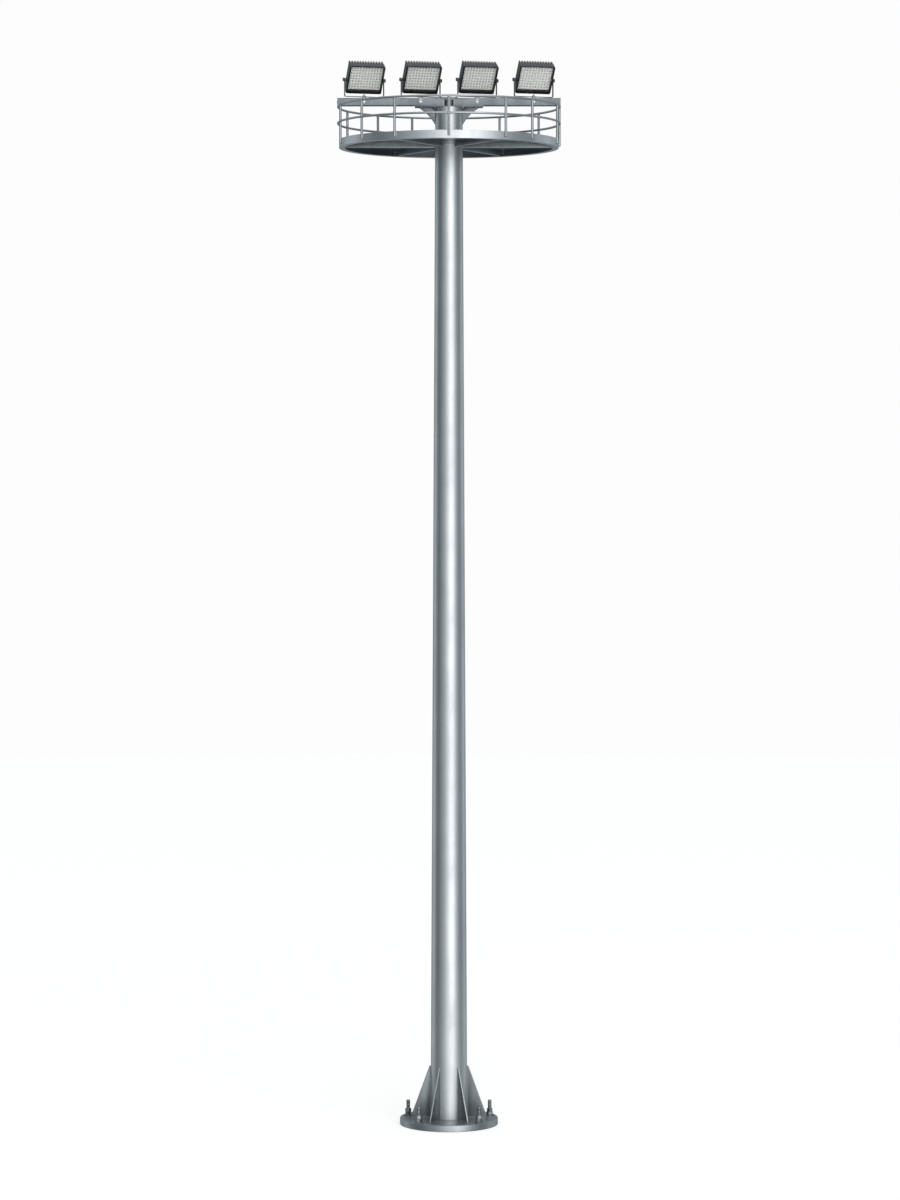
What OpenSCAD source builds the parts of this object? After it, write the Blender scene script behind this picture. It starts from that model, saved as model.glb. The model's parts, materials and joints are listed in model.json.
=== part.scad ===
// High mast floodlight tower, 20 m class: a tapered round steel shaft on a gusseted base
// plate, a round maintenance platform with a guardrail, and a crossbeam that carries four
// aimable LED floodlights.
// Millimetres, +Z up. The origin is the centre of the underside of the base plate; the
// floodlights look out over the front, which is -Y, and +X is to the right of the front.

/* [Mast] */
// Outside diameter of the shaft where it stands on the base plate
shaft_base_d = 690; // [520:5:860]
// Outside diameter of the shaft at its top
shaft_top_d = 515; // [400:5:620]
// Wall thickness of the shaft
shaft_wall = 8; // [5:1:16]
// Height of the top of the shaft above the underside of the base plate
shaft_top_z = 19100; // [15000:50:24000]

/* [Base] */
// Diameter of the base plate
base_d = 1840; // [1400:20:2400]
// Thickness of the base plate
base_t = 120; // [60:5:160]
// Height of the gussets above the base plate
gusset_h = 970; // [600:10:1400]
// Thickness of each gusset
gusset_t = 26; // [16:1:40]
// Diameter of the anchor studs
anchor_d = 72; // [48:2:90]
// Length of stud standing above the base plate
anchor_up = 290; // [220:5:380]

/* [Platform] */
// Outside diameter of the platform rim
deck_d = 4130; // [3200:10:5200]
// Height of the rim band
rim_h = 150; // [100:5:220]
// Thickness of the rim band
rim_t = 10; // [6:1:16]
// Width of the flange turned in at the foot of the rim
rim_flange = 100; // [60:5:140]
// Drop from the top of the shaft to the top edge of the rim
deck_drop = 620; // [500:10:1400]
// Diameter of the guardrail posts
post_d = 48; // [34:1:60]
// Diameter of the guardrail tubes
rail_d = 42; // [27:1:54]

/* [Crossbeam] */
// Height of the crossbeam section
beam_h = 150; // [120:5:220]
// Depth of the crossbeam section, front to back
beam_w = 150; // [100:5:220]
// Gap between the inner ends of the two halves of the crossbeam
beam_gap = 190; // [150:5:260]

/* [Floodlights] */
// Spacing between neighbouring floodlights
lamp_pitch = 1062; // [960:1:1280]
// Width of a floodlight housing
lamp_w = 690; // [560:5:760]
// Height of a floodlight housing
lamp_h = 584; // [480:2:600]
// Height of the tilt pivots above the crossbeam
pivot_h = 340; // [336:1:460]
// Angle each floodlight is turned towards +X
lamp_yaw = 17; // [0:1:40]
// Angle each floodlight looks down
lamp_tilt = 35; // [0:1:60]

/* [Hidden] */
$fn = 96;
eps = 1;                                 // length a cutter runs past the face it opens
run_gap = 0.3;                           // between faces that turn on each other
pin_gap = 0.08;                          // radial, round a pin that turns
hole_gap = 5;                            // radial, round an anchor stud

// base
anchor_r = base_d/2 - 125;               // radius of the ring of anchors
gusset_r = base_d/2 - 220;               // outer end of a gusset's foot
gusset_lip = 55;                         // height of its outer end
gusset_top = 24;                         // width of its top
gusset_a = [for (s = [-1, 1], k = [0:2]) s*(30 + 60*k)];
anchor_a = [for (s = [-1, 1], k = [0:2]) s*(45 + 60*k)];
washer_d = 2.2*anchor_d;
washer_t = 14;
nut_af = 1.46*anchor_d;                  // across the flats
nut_h = 0.8*anchor_d;

// platform
rim_r = deck_d/2;
rim_in = rim_r - rim_t;
rim_z1 = shaft_top_z - deck_drop;
rim_z0 = rim_z1 - rim_h;
deck_t = 6;
deck_z1 = rim_z1 - 20;
deck_z0 = deck_z1 - deck_t;
deck_gap = 3;                            // round the shaft
arm_w = 40;
arm_z0 = rim_z0 + rim_t;                 // the arms stand on the rim's flange
arm_a = gusset_a;
collar_t = 12;
collar_h = 54;
collar_z0 = deck_z0 - collar_h;
collar_r = shaft_r(collar_z0) + collar_t;

// head, crossbeam and guardrail heights
head_t = 16;
head_l = 1280;
head_w = 290;
shoe_t = 8;
beam_wall = 8;
beam_z0 = shaft_top_z + head_t + shoe_t;
beam_z1 = beam_z0 + beam_h;
saddle = 3;                              // depth the beam ends are coped over the top rail
cope = 6;                                // depth the posts are coped into rim and rail
rail_r = rim_r + post_d/2 - cope;        // radius of the guardrail line
top_rail_z = beam_z0 + saddle - rail_d/2;
mid_rail_z = (rim_z1 + top_rail_z)/2;
post_z0 = rim_z0 + 43;
// angles of the guardrail posts from the front, which are not quite evenly spaced
post_a = [-160, -139, -112, -76.5, -50.5, -28.5, 0, 30, 47.5, 76, 93, 124.5, 152, 180];
beam_end = rail_r + 15;
haunch_t = 20;
haunch_low = 335;                        // drop of the haunch's foot below the head plate
haunch_out = 590;                        // reach of its top from the axis
haunch_R = 812;                          // radius of its hollow edge
key_h = 40;                              // depth of the splice key between the beam halves
splice_t = 12;
hub_d = beam_gap - 10;

// floodlight bracket
clamp_w = 64;
clamp_t = 8;
clamp_leg = 110;                         // the legs' reach down the faces of the beam
boss_d = 80;
boss_h = 12;
stud_d = 30;
yoke_t = 10;
yoke_w = 60;
side_gap = 30;                           // housing to yoke leg
leg_in = lamp_w/2 + side_gap;
leg_out = leg_in + yoke_t;
pivot_z = beam_z1 + pivot_h;
foot_z0 = beam_z1 + clamp_t + boss_h + run_gap;
foot_z1 = foot_z0 + yoke_t;
pin_d = 20;
knob_d = 70;
knob_t = 28;

// floodlight, from the pivot: y is back from it, z up from it
face_y = -100;
body_y = 50;
fin_y = 125;
low_z = -241;
wall = 12;
frame_side = 28;                         // widths of the front frame round its opening
frame_top = 22;
frame_low = 68;
frame_t = 15;
sleeve_y = -45;
lens_t = 5;
panel_y = -28;
panel_t = 4;
fin_n = 13;
fin_t = 12;
corner = 26;
lens_gap = 0.5;

steel = "#9aa1a6";
dark = "#3a3d40";

// radius of the outside of the shaft at height z
function shaft_r(z) =
    (shaft_base_d + (shaft_top_d - shaft_base_d)*(z - base_t)/(shaft_top_z - base_t))/2;

// x of floodlight n, counted 1 to 4 from the left
function lamp_x(n) = (n - 2.5)*lamp_pitch;

// the outside of the shaft between two heights as a solid, to cut what is welded round it
module shaft_cutter(z0, z1) {
    translate([0, 0, z0]) cylinder(h = z1 - z0, r1 = shaft_r(z0), r2 = shaft_r(z1));
}

module at_angle(a, r) rotate([0, 0, a]) translate([0, -r, 0]) children();

module base_plate() color(steel) difference() {
    cylinder(h = base_t, d = base_d);
    for (a = anchor_a) at_angle(a, anchor_r) translate([0, 0, -eps])
        cylinder(h = base_t + 2*eps, r = anchor_d/2 + hole_gap, $fn = 48);
}

// a gusset is a sloping plate whose inner edge follows the shaft
module base_gussets() color(steel) difference() {
    for (a = gusset_a) rotate([0, 0, a - 90]) translate([0, gusset_t/2, base_t])
        rotate([90, 0, 0]) linear_extrude(gusset_t) polygon([
            [shaft_top_d/2 - 60, 0], [gusset_r, 0], [gusset_r, gusset_lip],
            [shaft_r(base_t + gusset_h) + gusset_top, gusset_h], [shaft_top_d/2 - 60, gusset_h]]);
    shaft_cutter(base_t - 50, base_t + gusset_h + 50);
}

module anchor_studs() color("#8d9296") for (a = anchor_a) at_angle(a, anchor_r)
    cylinder(h = base_t + anchor_up, d = anchor_d, $fn = 48);

module anchor_washers() color("#aab0b4") for (a = anchor_a) at_angle(a, anchor_r)
    translate([0, 0, base_t]) difference() {
        cylinder(h = washer_t, d = washer_d, $fn = 64);
        translate([0, 0, -eps]) cylinder(h = washer_t + 2*eps, r = anchor_d/2 + 1, $fn = 48);
    }

// two nuts on each stud, one locked on the other
module anchor_nuts() color("#a2a8ac") for (a = anchor_a) at_angle(a, anchor_r)
    translate([0, 0, base_t + washer_t]) difference() {
        union() {
            cylinder(h = nut_h, d = nut_af/cos(30), $fn = 6);
            translate([0, 0, nut_h]) cylinder(h = 1, d = 0.94*nut_af, $fn = 48);
            translate([0, 0, nut_h + 1]) rotate([0, 0, 17])
                cylinder(h = nut_h, d = nut_af/cos(30), $fn = 6);
        }
        translate([0, 0, -eps]) cylinder(h = 2*nut_h + 1 + 2*eps, d = anchor_d, $fn = 48);
    }

module mast_shaft() color(steel) difference() {
    shaft_cutter(base_t, shaft_top_z);
    translate([0, 0, base_t - eps]) cylinder(h = shaft_top_z - base_t + 2*eps,
        r1 = shaft_base_d/2 - shaft_wall, r2 = shaft_top_d/2 - shaft_wall);
}

module deck_collar() color(steel) difference() {
    translate([0, 0, collar_z0]) cylinder(h = collar_h, r = collar_r);
    shaft_cutter(collar_z0 - 50, deck_z0 + 50);
}

// arms under the deck, from the shaft and its collar to the rim, standing on its flange
module deck_arms() color(steel) difference() {
    intersection() {
        for (a = arm_a) rotate([0, 0, a])
            translate([-arm_w/2, -rim_r, arm_z0]) cube([arm_w, rim_r, deck_z0 - arm_z0]);
        translate([0, 0, arm_z0]) cylinder(h = deck_z0 - arm_z0, r = rim_in, $fn = 180);
    }
    translate([0, 0, collar_z0]) cylinder(h = collar_h + 50, r = collar_r);
    shaft_cutter(arm_z0 - 50, deck_z0 + 50);
}

// rolled band with a flange turned in at its foot
module deck_rim() color(steel) translate([0, 0, rim_z0]) difference() {
    cylinder(h = rim_h, r = rim_r, $fn = 180);
    translate([0, 0, rim_t]) cylinder(h = rim_h, r = rim_in, $fn = 180);
    translate([0, 0, -eps]) cylinder(h = rim_t + 2*eps, r = rim_in - rim_flange, $fn = 180);
}

module deck_plate() color(steel) translate([0, 0, deck_z0]) difference() {
    cylinder(h = deck_t, r = rim_in, $fn = 180);
    translate([0, 0, -eps]) cylinder(h = deck_t + 2*eps, r = shaft_r(deck_z0) + deck_gap);
}

module rail_ring(z) translate([0, 0, z])
    rotate_extrude($fn = 180) translate([rail_r, 0]) circle(d = rail_d, $fn = 32);

module post_bars(z0, z1) for (a = post_a) at_angle(a, rail_r)
    translate([0, 0, z0]) cylinder(h = z1 - z0, d = post_d, $fn = 32);

// posts notched over the rim's face and coped under the top rail
module guardrail_posts() color(steel) difference() {
    post_bars(post_z0, top_rail_z - rail_d/2 + cope);
    translate([0, 0, rim_z0]) cylinder(h = rim_h, r = rim_r, $fn = 180);
    rail_ring(top_rail_z);
}

module mid_rail() color(steel) difference() {
    rail_ring(mid_rail_z);
    post_bars(mid_rail_z - rail_d, mid_rail_z + rail_d);
}

module top_rail() color(steel) rail_ring(top_rail_z);

module head_plate() color(steel) translate([-head_l/2, -head_w/2, shaft_top_z])
    cube([head_l, head_w, head_t]);

module hub_post() color(dark) translate([0, 0, shaft_top_z + head_t])
    cylinder(h = shoe_t + beam_h - key_h, d = hub_d);

// one half of the crossbeam: a box section on a shoe, closed at its outer end
module beam_half() difference() {
    union() {
        translate([beam_gap/2, -beam_w/2, beam_z0]) cube([beam_end - beam_gap/2, beam_w, beam_h]);
        translate([beam_gap/2, -head_w/2, beam_z0 - shoe_t])
            cube([head_l/2 - beam_gap/2, head_w, shoe_t]);
    }
    translate([beam_gap/2 - eps, beam_wall - beam_w/2, beam_z0 + beam_wall])
        cube([beam_end - beam_gap/2 - beam_wall + eps, beam_w - 2*beam_wall, beam_h - 2*beam_wall]);
    rail_ring(top_rail_z);
}

module crossbeam() color(steel) {
    beam_half();
    mirror([1, 0, 0]) beam_half();
}

// web plates with a hollow edge, from the side of the shaft to the head plate
module haunches() color(steel) difference() {
    translate([-haunch_out, -haunch_t/2, shaft_top_z - haunch_low])
        cube([2*haunch_out, haunch_t, haunch_low]);
    shaft_cutter(shaft_top_z - haunch_low - 50, shaft_top_z + 50);
    for (s = [-1, 1]) translate([s*(haunch_out + 384), haunch_t, shaft_top_z - 714])
        rotate([90, 0, 0]) cylinder(h = 2*haunch_t, r = haunch_R, $fn = 180);
}

// plate over the joint in the crossbeam, with a key between the two halves
module splice_plate() color(steel) {
    translate([-170, -beam_w/2 - 12, beam_z1]) cube([340, beam_w + 24, splice_t]);
    translate([2 - beam_gap/2, -beam_w/2, beam_z1 - key_h])
        cube([beam_gap - 4, beam_w, key_h]);
}

// a saddle strap over the beam, with the swivel stud that holds a floodlight's yoke
module beam_clamps() color("#b4b9bc") for (n = [1:4]) translate([lamp_x(n), 0, beam_z1]) {
    translate([-clamp_w/2, -beam_w/2 - clamp_t, 0]) cube([clamp_w, beam_w + 2*clamp_t, clamp_t]);
    for (s = [-1, 1]) translate([0, s*(beam_w + clamp_t)/2, 0]) {
        translate([-clamp_w/2, -clamp_t/2, clamp_w/2 - clamp_leg])
            cube([clamp_w, clamp_t, clamp_leg - clamp_w/2 + clamp_t/2]);
        translate([0, clamp_t/2, clamp_w/2 - clamp_leg]) rotate([90, 0, 0])
            cylinder(h = clamp_t, d = clamp_w, $fn = 48);
    }
    translate([0, 0, clamp_t]) cylinder(h = boss_h, d = boss_d, $fn = 48);
    translate([0, 0, clamp_t]) cylinder(h = boss_h + 50, d = stud_d, $fn = 48);
    translate([0, 0, foot_z1 + run_gap - beam_z1]) {
        cylinder(h = 5, d = 66, $fn = 48);
        cylinder(h = 29, d = 46/cos(30), $fn = 6);
    }
}

// places a piece on floodlight n, turned as its yoke is
module at_lamp(n) translate([lamp_x(n), 0, pivot_z]) rotate([0, 0, lamp_yaw]) children();

// places a piece on floodlight n, tilted as its housing is
module at_tilt(n) at_lamp(n) rotate([lamp_tilt, 0, 0]) children();

// U-shaped bracket of flat bar: a foot on the swivel stud and two legs to the pivots
module yoke(n) color(dark) at_lamp(n) difference() {
    union() {
        translate([-leg_out, -yoke_w/2, foot_z0 - pivot_z]) cube([2*leg_out, yoke_w, yoke_t]);
        for (s = [-1, 1]) translate([s*(leg_in + yoke_t/2), 0, 0]) {
            translate([-yoke_t/2, -yoke_w/2, foot_z0 - pivot_z])
                cube([yoke_t, yoke_w, pivot_z - foot_z0]);
            translate([-yoke_t/2, 0, 0]) rotate([0, 90, 0])
                cylinder(h = yoke_t, d = yoke_w, $fn = 48);
        }
    }
    translate([0, 0, foot_z0 - pivot_z - eps])
        cylinder(h = yoke_t + 2*eps, r = stud_d/2 + pin_gap, $fn = 48);
    translate([-leg_out - eps, 0, 0]) rotate([0, 90, 0])
        cylinder(h = 2*(leg_out + eps), r = pin_d/2 + pin_gap, $fn = 48);
}

// spacer boss, pivot pin and hand knob at each side of the housing
module pivots(n) color(dark) at_tilt(n) for (s = [-1, 1]) mirror([s < 0 ? 1 : 0, 0, 0])
    rotate([0, 90, 0]) {
        translate([0, 0, lamp_w/2]) cylinder(h = side_gap - run_gap, d = 50, $fn = 48);
        translate([0, 0, lamp_w/2]) cylinder(h = side_gap + yoke_t + 1, d = pin_d, $fn = 48);
        translate([0, 0, leg_out + run_gap]) cylinder(h = knob_t, d = knob_d, $fn = 48);
    }

// rounded block across the front of a floodlight, from y0 back to y1, inset by i at the
// sides, j below and k above
module inset_block(y0, y1, i, j, k) {
    r = max(corner - i, 4);
    w = lamp_w - 2*i;
    h = lamp_h - j - k;
    translate([0, y1, 0]) rotate([90, 0, 0]) linear_extrude(y1 - y0) union() {
        translate([r - w/2, low_z + j]) square([w - 2*r, h]);
        translate([-w/2, low_z + j + r]) square([w, h - 2*r]);
        for (x = [-1, 1], z = [0, 1])
            translate([x*(w/2 - r), low_z + j + r + z*(h - 2*r)]) circle(r = r, $fn = 32);
    }
}

// the same, inset by i all round
module block(y0, y1, i) inset_block(y0, y1, i, i, i);

// die-cast tray with upright cooling fins on its back
module housing(n) color(dark) at_tilt(n) {
    difference() {
        block(face_y + frame_t, body_y, 0);
        block(face_y + frame_t - eps, body_y - wall, wall);
    }
    for (k = [0:fin_n - 1])
        translate([-fin_t/2 + (lamp_w - 60)*(k/(fin_n - 1) - 0.5), body_y, low_z + 12])
            cube([fin_t, fin_y - body_y, lamp_h - 12]);
}

// front frame, deeper below its opening, with a sleeve that reaches in to the glass
module bezel(n) color("#17181a") at_tilt(n) difference() {
    lip = frame_top - wall - lens_gap;
    union() {
        block(face_y, face_y + frame_t, 0);
        inset_block(face_y, sleeve_y, frame_side - lip, frame_low - lip, frame_top - lip);
    }
    inset_block(face_y - eps, sleeve_y + eps, frame_side, frame_low, frame_top);
}

module lens(n) color("#d9dcda", 0.5) at_tilt(n) block(sleeve_y, sleeve_y + lens_t, wall + lens_gap);

// folded tray that carries the LEDs, standing on the back of the housing
module panel(n) color("#e8e6dc") at_tilt(n) difference() {
    block(panel_y, body_y - wall, wall + 2);
    block(panel_y + panel_t, body_y - wall + eps, wall + 2 + panel_t);
}

base_plate();
base_gussets();
anchor_studs();
anchor_nuts();
anchor_washers();
mast_shaft();
deck_collar();
deck_arms();
deck_rim();
deck_plate();
guardrail_posts();
mid_rail();
top_rail();
head_plate();
hub_post();
crossbeam();
haunches();
splice_plate();
beam_clamps();
yoke(1);  // lamp1_yoke
pivots(1);  // lamp1_pivots
housing(1);  // lamp1_housing
bezel(1);  // lamp1_bezel
panel(1);  // lamp1_panel
lens(1);  // lamp1_lens
yoke(2);  // lamp2_yoke
pivots(2);  // lamp2_pivots
housing(2);  // lamp2_housing
bezel(2);  // lamp2_bezel
panel(2);  // lamp2_panel
lens(2);  // lamp2_lens
yoke(3);  // lamp3_yoke
pivots(3);  // lamp3_pivots
housing(3);  // lamp3_housing
bezel(3);  // lamp3_bezel
panel(3);  // lamp3_panel
lens(3);  // lamp3_lens
yoke(4);  // lamp4_yoke
pivots(4);  // lamp4_pivots
housing(4);  // lamp4_housing
bezel(4);  // lamp4_bezel
panel(4);  // lamp4_panel
lens(4);  // lamp4_lens
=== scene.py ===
# %% [markdown]
# # A high mast floodlight tower
# The tower stands in one shared frame: metres, +Z up, the underside of the base plate on zero
# and the floodlights looking out over -Y.

# %% Load the engineered model
import json
import math

import bmesh
import bpy
from mathutils import Matrix, Vector


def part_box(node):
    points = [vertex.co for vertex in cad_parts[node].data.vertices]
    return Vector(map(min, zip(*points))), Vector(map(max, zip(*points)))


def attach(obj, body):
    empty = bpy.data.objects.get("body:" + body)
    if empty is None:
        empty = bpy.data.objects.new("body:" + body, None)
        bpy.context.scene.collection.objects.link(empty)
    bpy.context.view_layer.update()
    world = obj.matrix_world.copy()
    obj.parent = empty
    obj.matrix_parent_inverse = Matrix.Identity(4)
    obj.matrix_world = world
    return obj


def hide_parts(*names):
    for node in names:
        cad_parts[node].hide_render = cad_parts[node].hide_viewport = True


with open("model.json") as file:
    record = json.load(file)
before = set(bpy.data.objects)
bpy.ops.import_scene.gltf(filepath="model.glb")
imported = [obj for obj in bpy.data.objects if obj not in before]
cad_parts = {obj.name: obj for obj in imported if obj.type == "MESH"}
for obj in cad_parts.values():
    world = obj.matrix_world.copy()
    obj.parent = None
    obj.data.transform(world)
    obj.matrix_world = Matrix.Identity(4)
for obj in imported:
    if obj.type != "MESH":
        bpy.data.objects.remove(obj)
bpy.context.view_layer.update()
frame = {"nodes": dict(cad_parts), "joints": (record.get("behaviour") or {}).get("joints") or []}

scene = bpy.context.scene
nodes = frame["nodes"]

# %% [markdown]
# ## Camera
# A 20 m mast is seen whole from about 67 m away with a long lens, from a height of 12 m: above
# the foot, whose plate shows its top, and below the platform, whose underside shows. As in
# pictures of buildings, the camera is kept level so that nothing leans, and the view is lowered
# by a small lens shift instead of by tilting.

# %% Camera
VIEW_DISTANCE = 67.0
VIEW_HEIGHT = 12.1
AIM_HEIGHT = 9.84
FRAME_HEIGHT = 22.56                     # metres of mast from the frame's bottom to its top
AXIS_OFFSET = 0.020                      # the mast stands this much left of the frame's middle

camera_data = bpy.data.cameras.new("long_lens")
camera_data.sensor_fit = "VERTICAL"
camera_data.sensor_height = 36.0
camera_data.lens = 36.0 * VIEW_DISTANCE / FRAME_HEIGHT
camera_data.clip_end = 500.0
camera = bpy.data.objects.new("long_lens", camera_data)
scene.collection.objects.link(camera)
camera.location = (AXIS_OFFSET, -VIEW_DISTANCE, VIEW_HEIGHT)
camera.rotation_euler = (math.radians(90), 0.0, 0.0)
camera_data.shift_y = (AIM_HEIGHT - VIEW_HEIGHT) / FRAME_HEIGHT
scene.camera = camera
print("lens", round(camera_data.lens, 1), "mm")

# %% [markdown]
# ## Steps and wires
# The room, every finish and every Geometry Nodes tree is a set of steps joined by wires. `node`
# adds a step, sets its options and feeds its inputs: a plain value is set on the input itself, and
# a socket is joined to it. With it, a step is one call.


# %% Node helpers
def feed(tree, step, feeds):
    """Gives inputs, by name or number, a plain value or the socket that feeds them."""
    for key, value in feeds.items():
        if isinstance(value, bpy.types.NodeSocket):
            tree.links.new(value, step.inputs[key])
        else:
            step.inputs[key].default_value = value


def node(tree, kind, feeds=None, **settings):
    step = tree.nodes.new(kind)
    for key, value in settings.items():
        setattr(step, key, value)
    feed(tree, step, feeds or {})
    return step


def math_step(tree, operation, a, b=0.0):
    return node(tree, "ShaderNodeMath", {0: a, 1: b}, operation=operation).outputs[0]


def ramp_between(tree, value, low, high, from_min=0.0, from_max=1.0, **settings):
    """Carries a value from one range to another and stops at both ends."""
    return node(tree, "ShaderNodeMapRange", {
        "Value": value, "From Min": from_min, "From Max": from_max, "To Min": low, "To Max": high},
        **settings).outputs[0]


def blank_tree(owner):
    """The emptied node tree of a material or a world."""
    owner.use_nodes = True
    owner.node_tree.nodes.clear()
    return owner.node_tree


print("node helpers ready")

# %% [markdown]
# ## Floor and light
# A studio for something this tall is a pale floor and large soft lights. Bare zinc is a mirror
# with a blurred surface, so a round shaft shows what stands round it: a tall soft light a little
# to the right of the lens draws the bright stripe, the dim parts of the room on both sides draw
# the dark flanks, and the pale room behind draws the thin light rims.

# %% Floor
FLOOR_RADIUS, FLOOR_SIDES, FLOOR_DROP = 90.0, 96, 0.002
FLOOR_GREY, FLOOR_GLOW = 0.55, 0.585     # its own colour, and the light that makes it plain

floor_mesh = bpy.data.meshes.new("floor")
floor_turns = [2 * math.pi * i / FLOOR_SIDES for i in range(FLOOR_SIDES)]
floor_mesh.from_pydata(
    [(FLOOR_RADIUS * math.cos(t), FLOOR_RADIUS * math.sin(t), -FLOOR_DROP) for t in floor_turns],
    [], [tuple(range(FLOOR_SIDES))])
floor = bpy.data.objects.new("floor", floor_mesh)
scene.collection.objects.link(floor)

floor_paint = bpy.data.materials.new("pale_floor")
paint = blank_tree(floor_paint)
matt = node(paint, "ShaderNodeBsdfDiffuse", {"Color": (FLOOR_GREY, FLOOR_GREY, FLOOR_GREY, 1)})
glow = node(paint, "ShaderNodeEmission", {"Strength": FLOOR_GLOW})
pale = node(paint, "ShaderNodeAddShader", {0: matt.outputs[0], 1: glow.outputs[0]})
open_air = node(paint, "ShaderNodeBsdfTransparent")
who_looks = node(paint, "ShaderNodeLightPath")
choice = node(paint, "ShaderNodeMixShader", {
    0: who_looks.outputs["Is Camera Ray"], 1: open_air.outputs[0], 2: pale.outputs[0]})
node(paint, "ShaderNodeOutputMaterial", {"Surface": choice.outputs[0]})
floor_mesh.materials.append(floor_paint)
print("floor radius", FLOOR_RADIUS, "m")

# %% The room
ROOM_STOPS = [                           # degrees to the right of the lens, brightness
    (-180, 0.30), (-144, 0.40), (-118, 0.80), (-98, 0.26), (-76, 0.07), (-52, 0.33),
    (-26, 0.62), (-4, 1.45), (14, 2.30), (30, 2.00), (50, 0.66), (74, 0.20), (96, 0.26),
    (118, 0.74), (144, 0.40), (180, 0.30)]
COOL_BELOW = 1.4                         # bands dimmer than this lean towards blue
UNDERFOOT, OVERHEAD = 0.24, 0.85         # brightness straight down and straight up
BACKDROP = 0.98                          # what the camera sees behind the tower

world = bpy.data.worlds.new("studio")
scene.world = world
room = blank_tree(world)
direction = node(room, "ShaderNodeSeparateXYZ",
                 {0: node(room, "ShaderNodeTexCoord").outputs["Generated"]}).outputs
azimuth = math_step(room, "ARCTAN2", direction["X"],
                    math_step(room, "MULTIPLY", direction["Y"], -1.0))
walls = node(room, "ShaderNodeValToRGB",
             {0: ramp_between(room, azimuth, 0.0, 1.0, -math.pi, math.pi)})
ramp = walls.color_ramp
ramp.interpolation = "LINEAR"
while len(ramp.elements) < len(ROOM_STOPS):
    ramp.elements.new(0.5)
for stop, (degrees, level) in zip(ramp.elements, ROOM_STOPS):
    stop.position = (degrees + 180) / 360
    cool = 1 - min(level / COOL_BELOW, 1)
    stop.color = (level * (1 - 0.27 * cool), level * (1 - 0.08 * cool), level, 1)

to_pole = ramp_between(room, math_step(room, "ABSOLUTE", direction["Z"]), 0.0, 1.0, 0.50, 0.90,
                       interpolation_type="SMOOTHSTEP")
poles = ramp_between(room, direction["Z"], UNDERFOOT, OVERHEAD, -0.2, 0.2)
whole = node(room, "ShaderNodeMix", {"Factor": to_pole, "A": walls.outputs["Color"], "B": poles},
             data_type="RGBA")
lights = node(room, "ShaderNodeBackground", {"Color": whole.outputs["Result"], "Strength": 1.0})
backdrop = node(room, "ShaderNodeBackground", {"Color": (1, 1, 1, 1), "Strength": BACKDROP})
rays = node(room, "ShaderNodeLightPath")
choice = node(room, "ShaderNodeMixShader", {
    0: rays.outputs["Is Camera Ray"], 1: lights.outputs[0], 2: backdrop.outputs[0]})
node(room, "ShaderNodeOutputWorld", {"Surface": choice.outputs[0]})
print("room with", len(ROOM_STOPS), "bands")

# %% Overhead light
OVERHEAD_PLACE, OVERHEAD_SIZE, OVERHEAD_WATTS = Vector((6, -14, 46)), 24, 1800

overhead_data = bpy.data.lights.new("overhead", "AREA")
overhead_data.shape = "RECTANGLE"
overhead_data.size = overhead_data.size_y = OVERHEAD_SIZE
overhead_data.energy = OVERHEAD_WATTS
overhead = bpy.data.objects.new("overhead", overhead_data)
scene.collection.objects.link(overhead)
overhead.location = OVERHEAD_PLACE
overhead.rotation_euler = (Vector((0, 0, 6)) - OVERHEAD_PLACE).to_track_quat("-Z", "Y").to_euler()
scene.view_settings.view_transform = "Standard"
scene.view_settings.look = "None"
print("overhead light", OVERHEAD_WATTS, "W")

# %% [markdown]
# ## Helpers for places and meshes
# Positions come from the engineered model, not from guesses: `islands` finds the separate solids
# inside one part and gives the box of each, so a nut lands exactly on its stud.


# %% Reading places from the model
def islands(node):
    """Lowest and highest corner of each separate solid of a part, in a steady order."""
    shape = bmesh.new()
    shape.from_mesh(nodes[node].data)
    bmesh.ops.remove_doubles(shape, verts=shape.verts, dist=2e-5)
    left, found = set(shape.verts), []
    while left:
        group, edge = set(), [left.pop()]
        while edge:
            v = edge.pop()
            group.add(v)
            for e in v.link_edges:
                other = e.other_vert(v)
                if other in left:
                    left.discard(other)
                    edge.append(other)
        lo = Vector([min(v.co[i] for v in group) for i in range(3)])
        hi = Vector([max(v.co[i] for v in group) for i in range(3)])
        found.append((lo, hi))
    shape.free()
    return sorted(found, key=lambda b: (round(b[0].x, 4), round(b[0].y, 4), round(b[0].z, 4)))


def middle(box):
    return (box[0] + box[1]) / 2


anchors = [Vector((*middle(b).xy, 0)) for b in islands("anchor_studs")]
posts = [middle(b) for b in islands("guardrail_posts")]
plate_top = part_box("base_plate")[1].z
print(len(anchors), "anchors,", len(posts), "posts, plate top", round(plate_top, 3))


# %% Making a finished piece
def finish_piece(mesh, name, body, material, place=None, smooth=40.0):
    """Puts a mesh in the scene as a piece that rides on a body, in the model's own frame."""
    if place is not None:
        mesh.transform(place)
    mesh.materials.clear()
    mesh.materials.append(material)
    piece = bpy.data.objects.new(name, mesh)
    scene.collection.objects.link(piece)
    if smooth:
        for face in mesh.polygons:
            face.use_smooth = True
        mesh.set_sharp_from_angle(angle=math.radians(smooth))
    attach(piece, body)
    return piece


def lathe(rings, count, name):
    """Closed mesh from rings of (radius, height) round Z; either may be a function of angle."""
    def at(size, a):
        return size(a) if callable(size) else size
    turns = [2 * math.pi * i / count for i in range(count)]
    verts = [(at(radius, a) * math.cos(a), at(radius, a) * math.sin(a), at(height, a))
             for radius, height in rings for a in turns]
    faces = strips(len(rings) - 1, count, len(rings)) + caps(len(rings), count)
    mesh = bpy.data.meshes.new(name)
    mesh.from_pydata(verts, [], faces)
    return mesh


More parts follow.
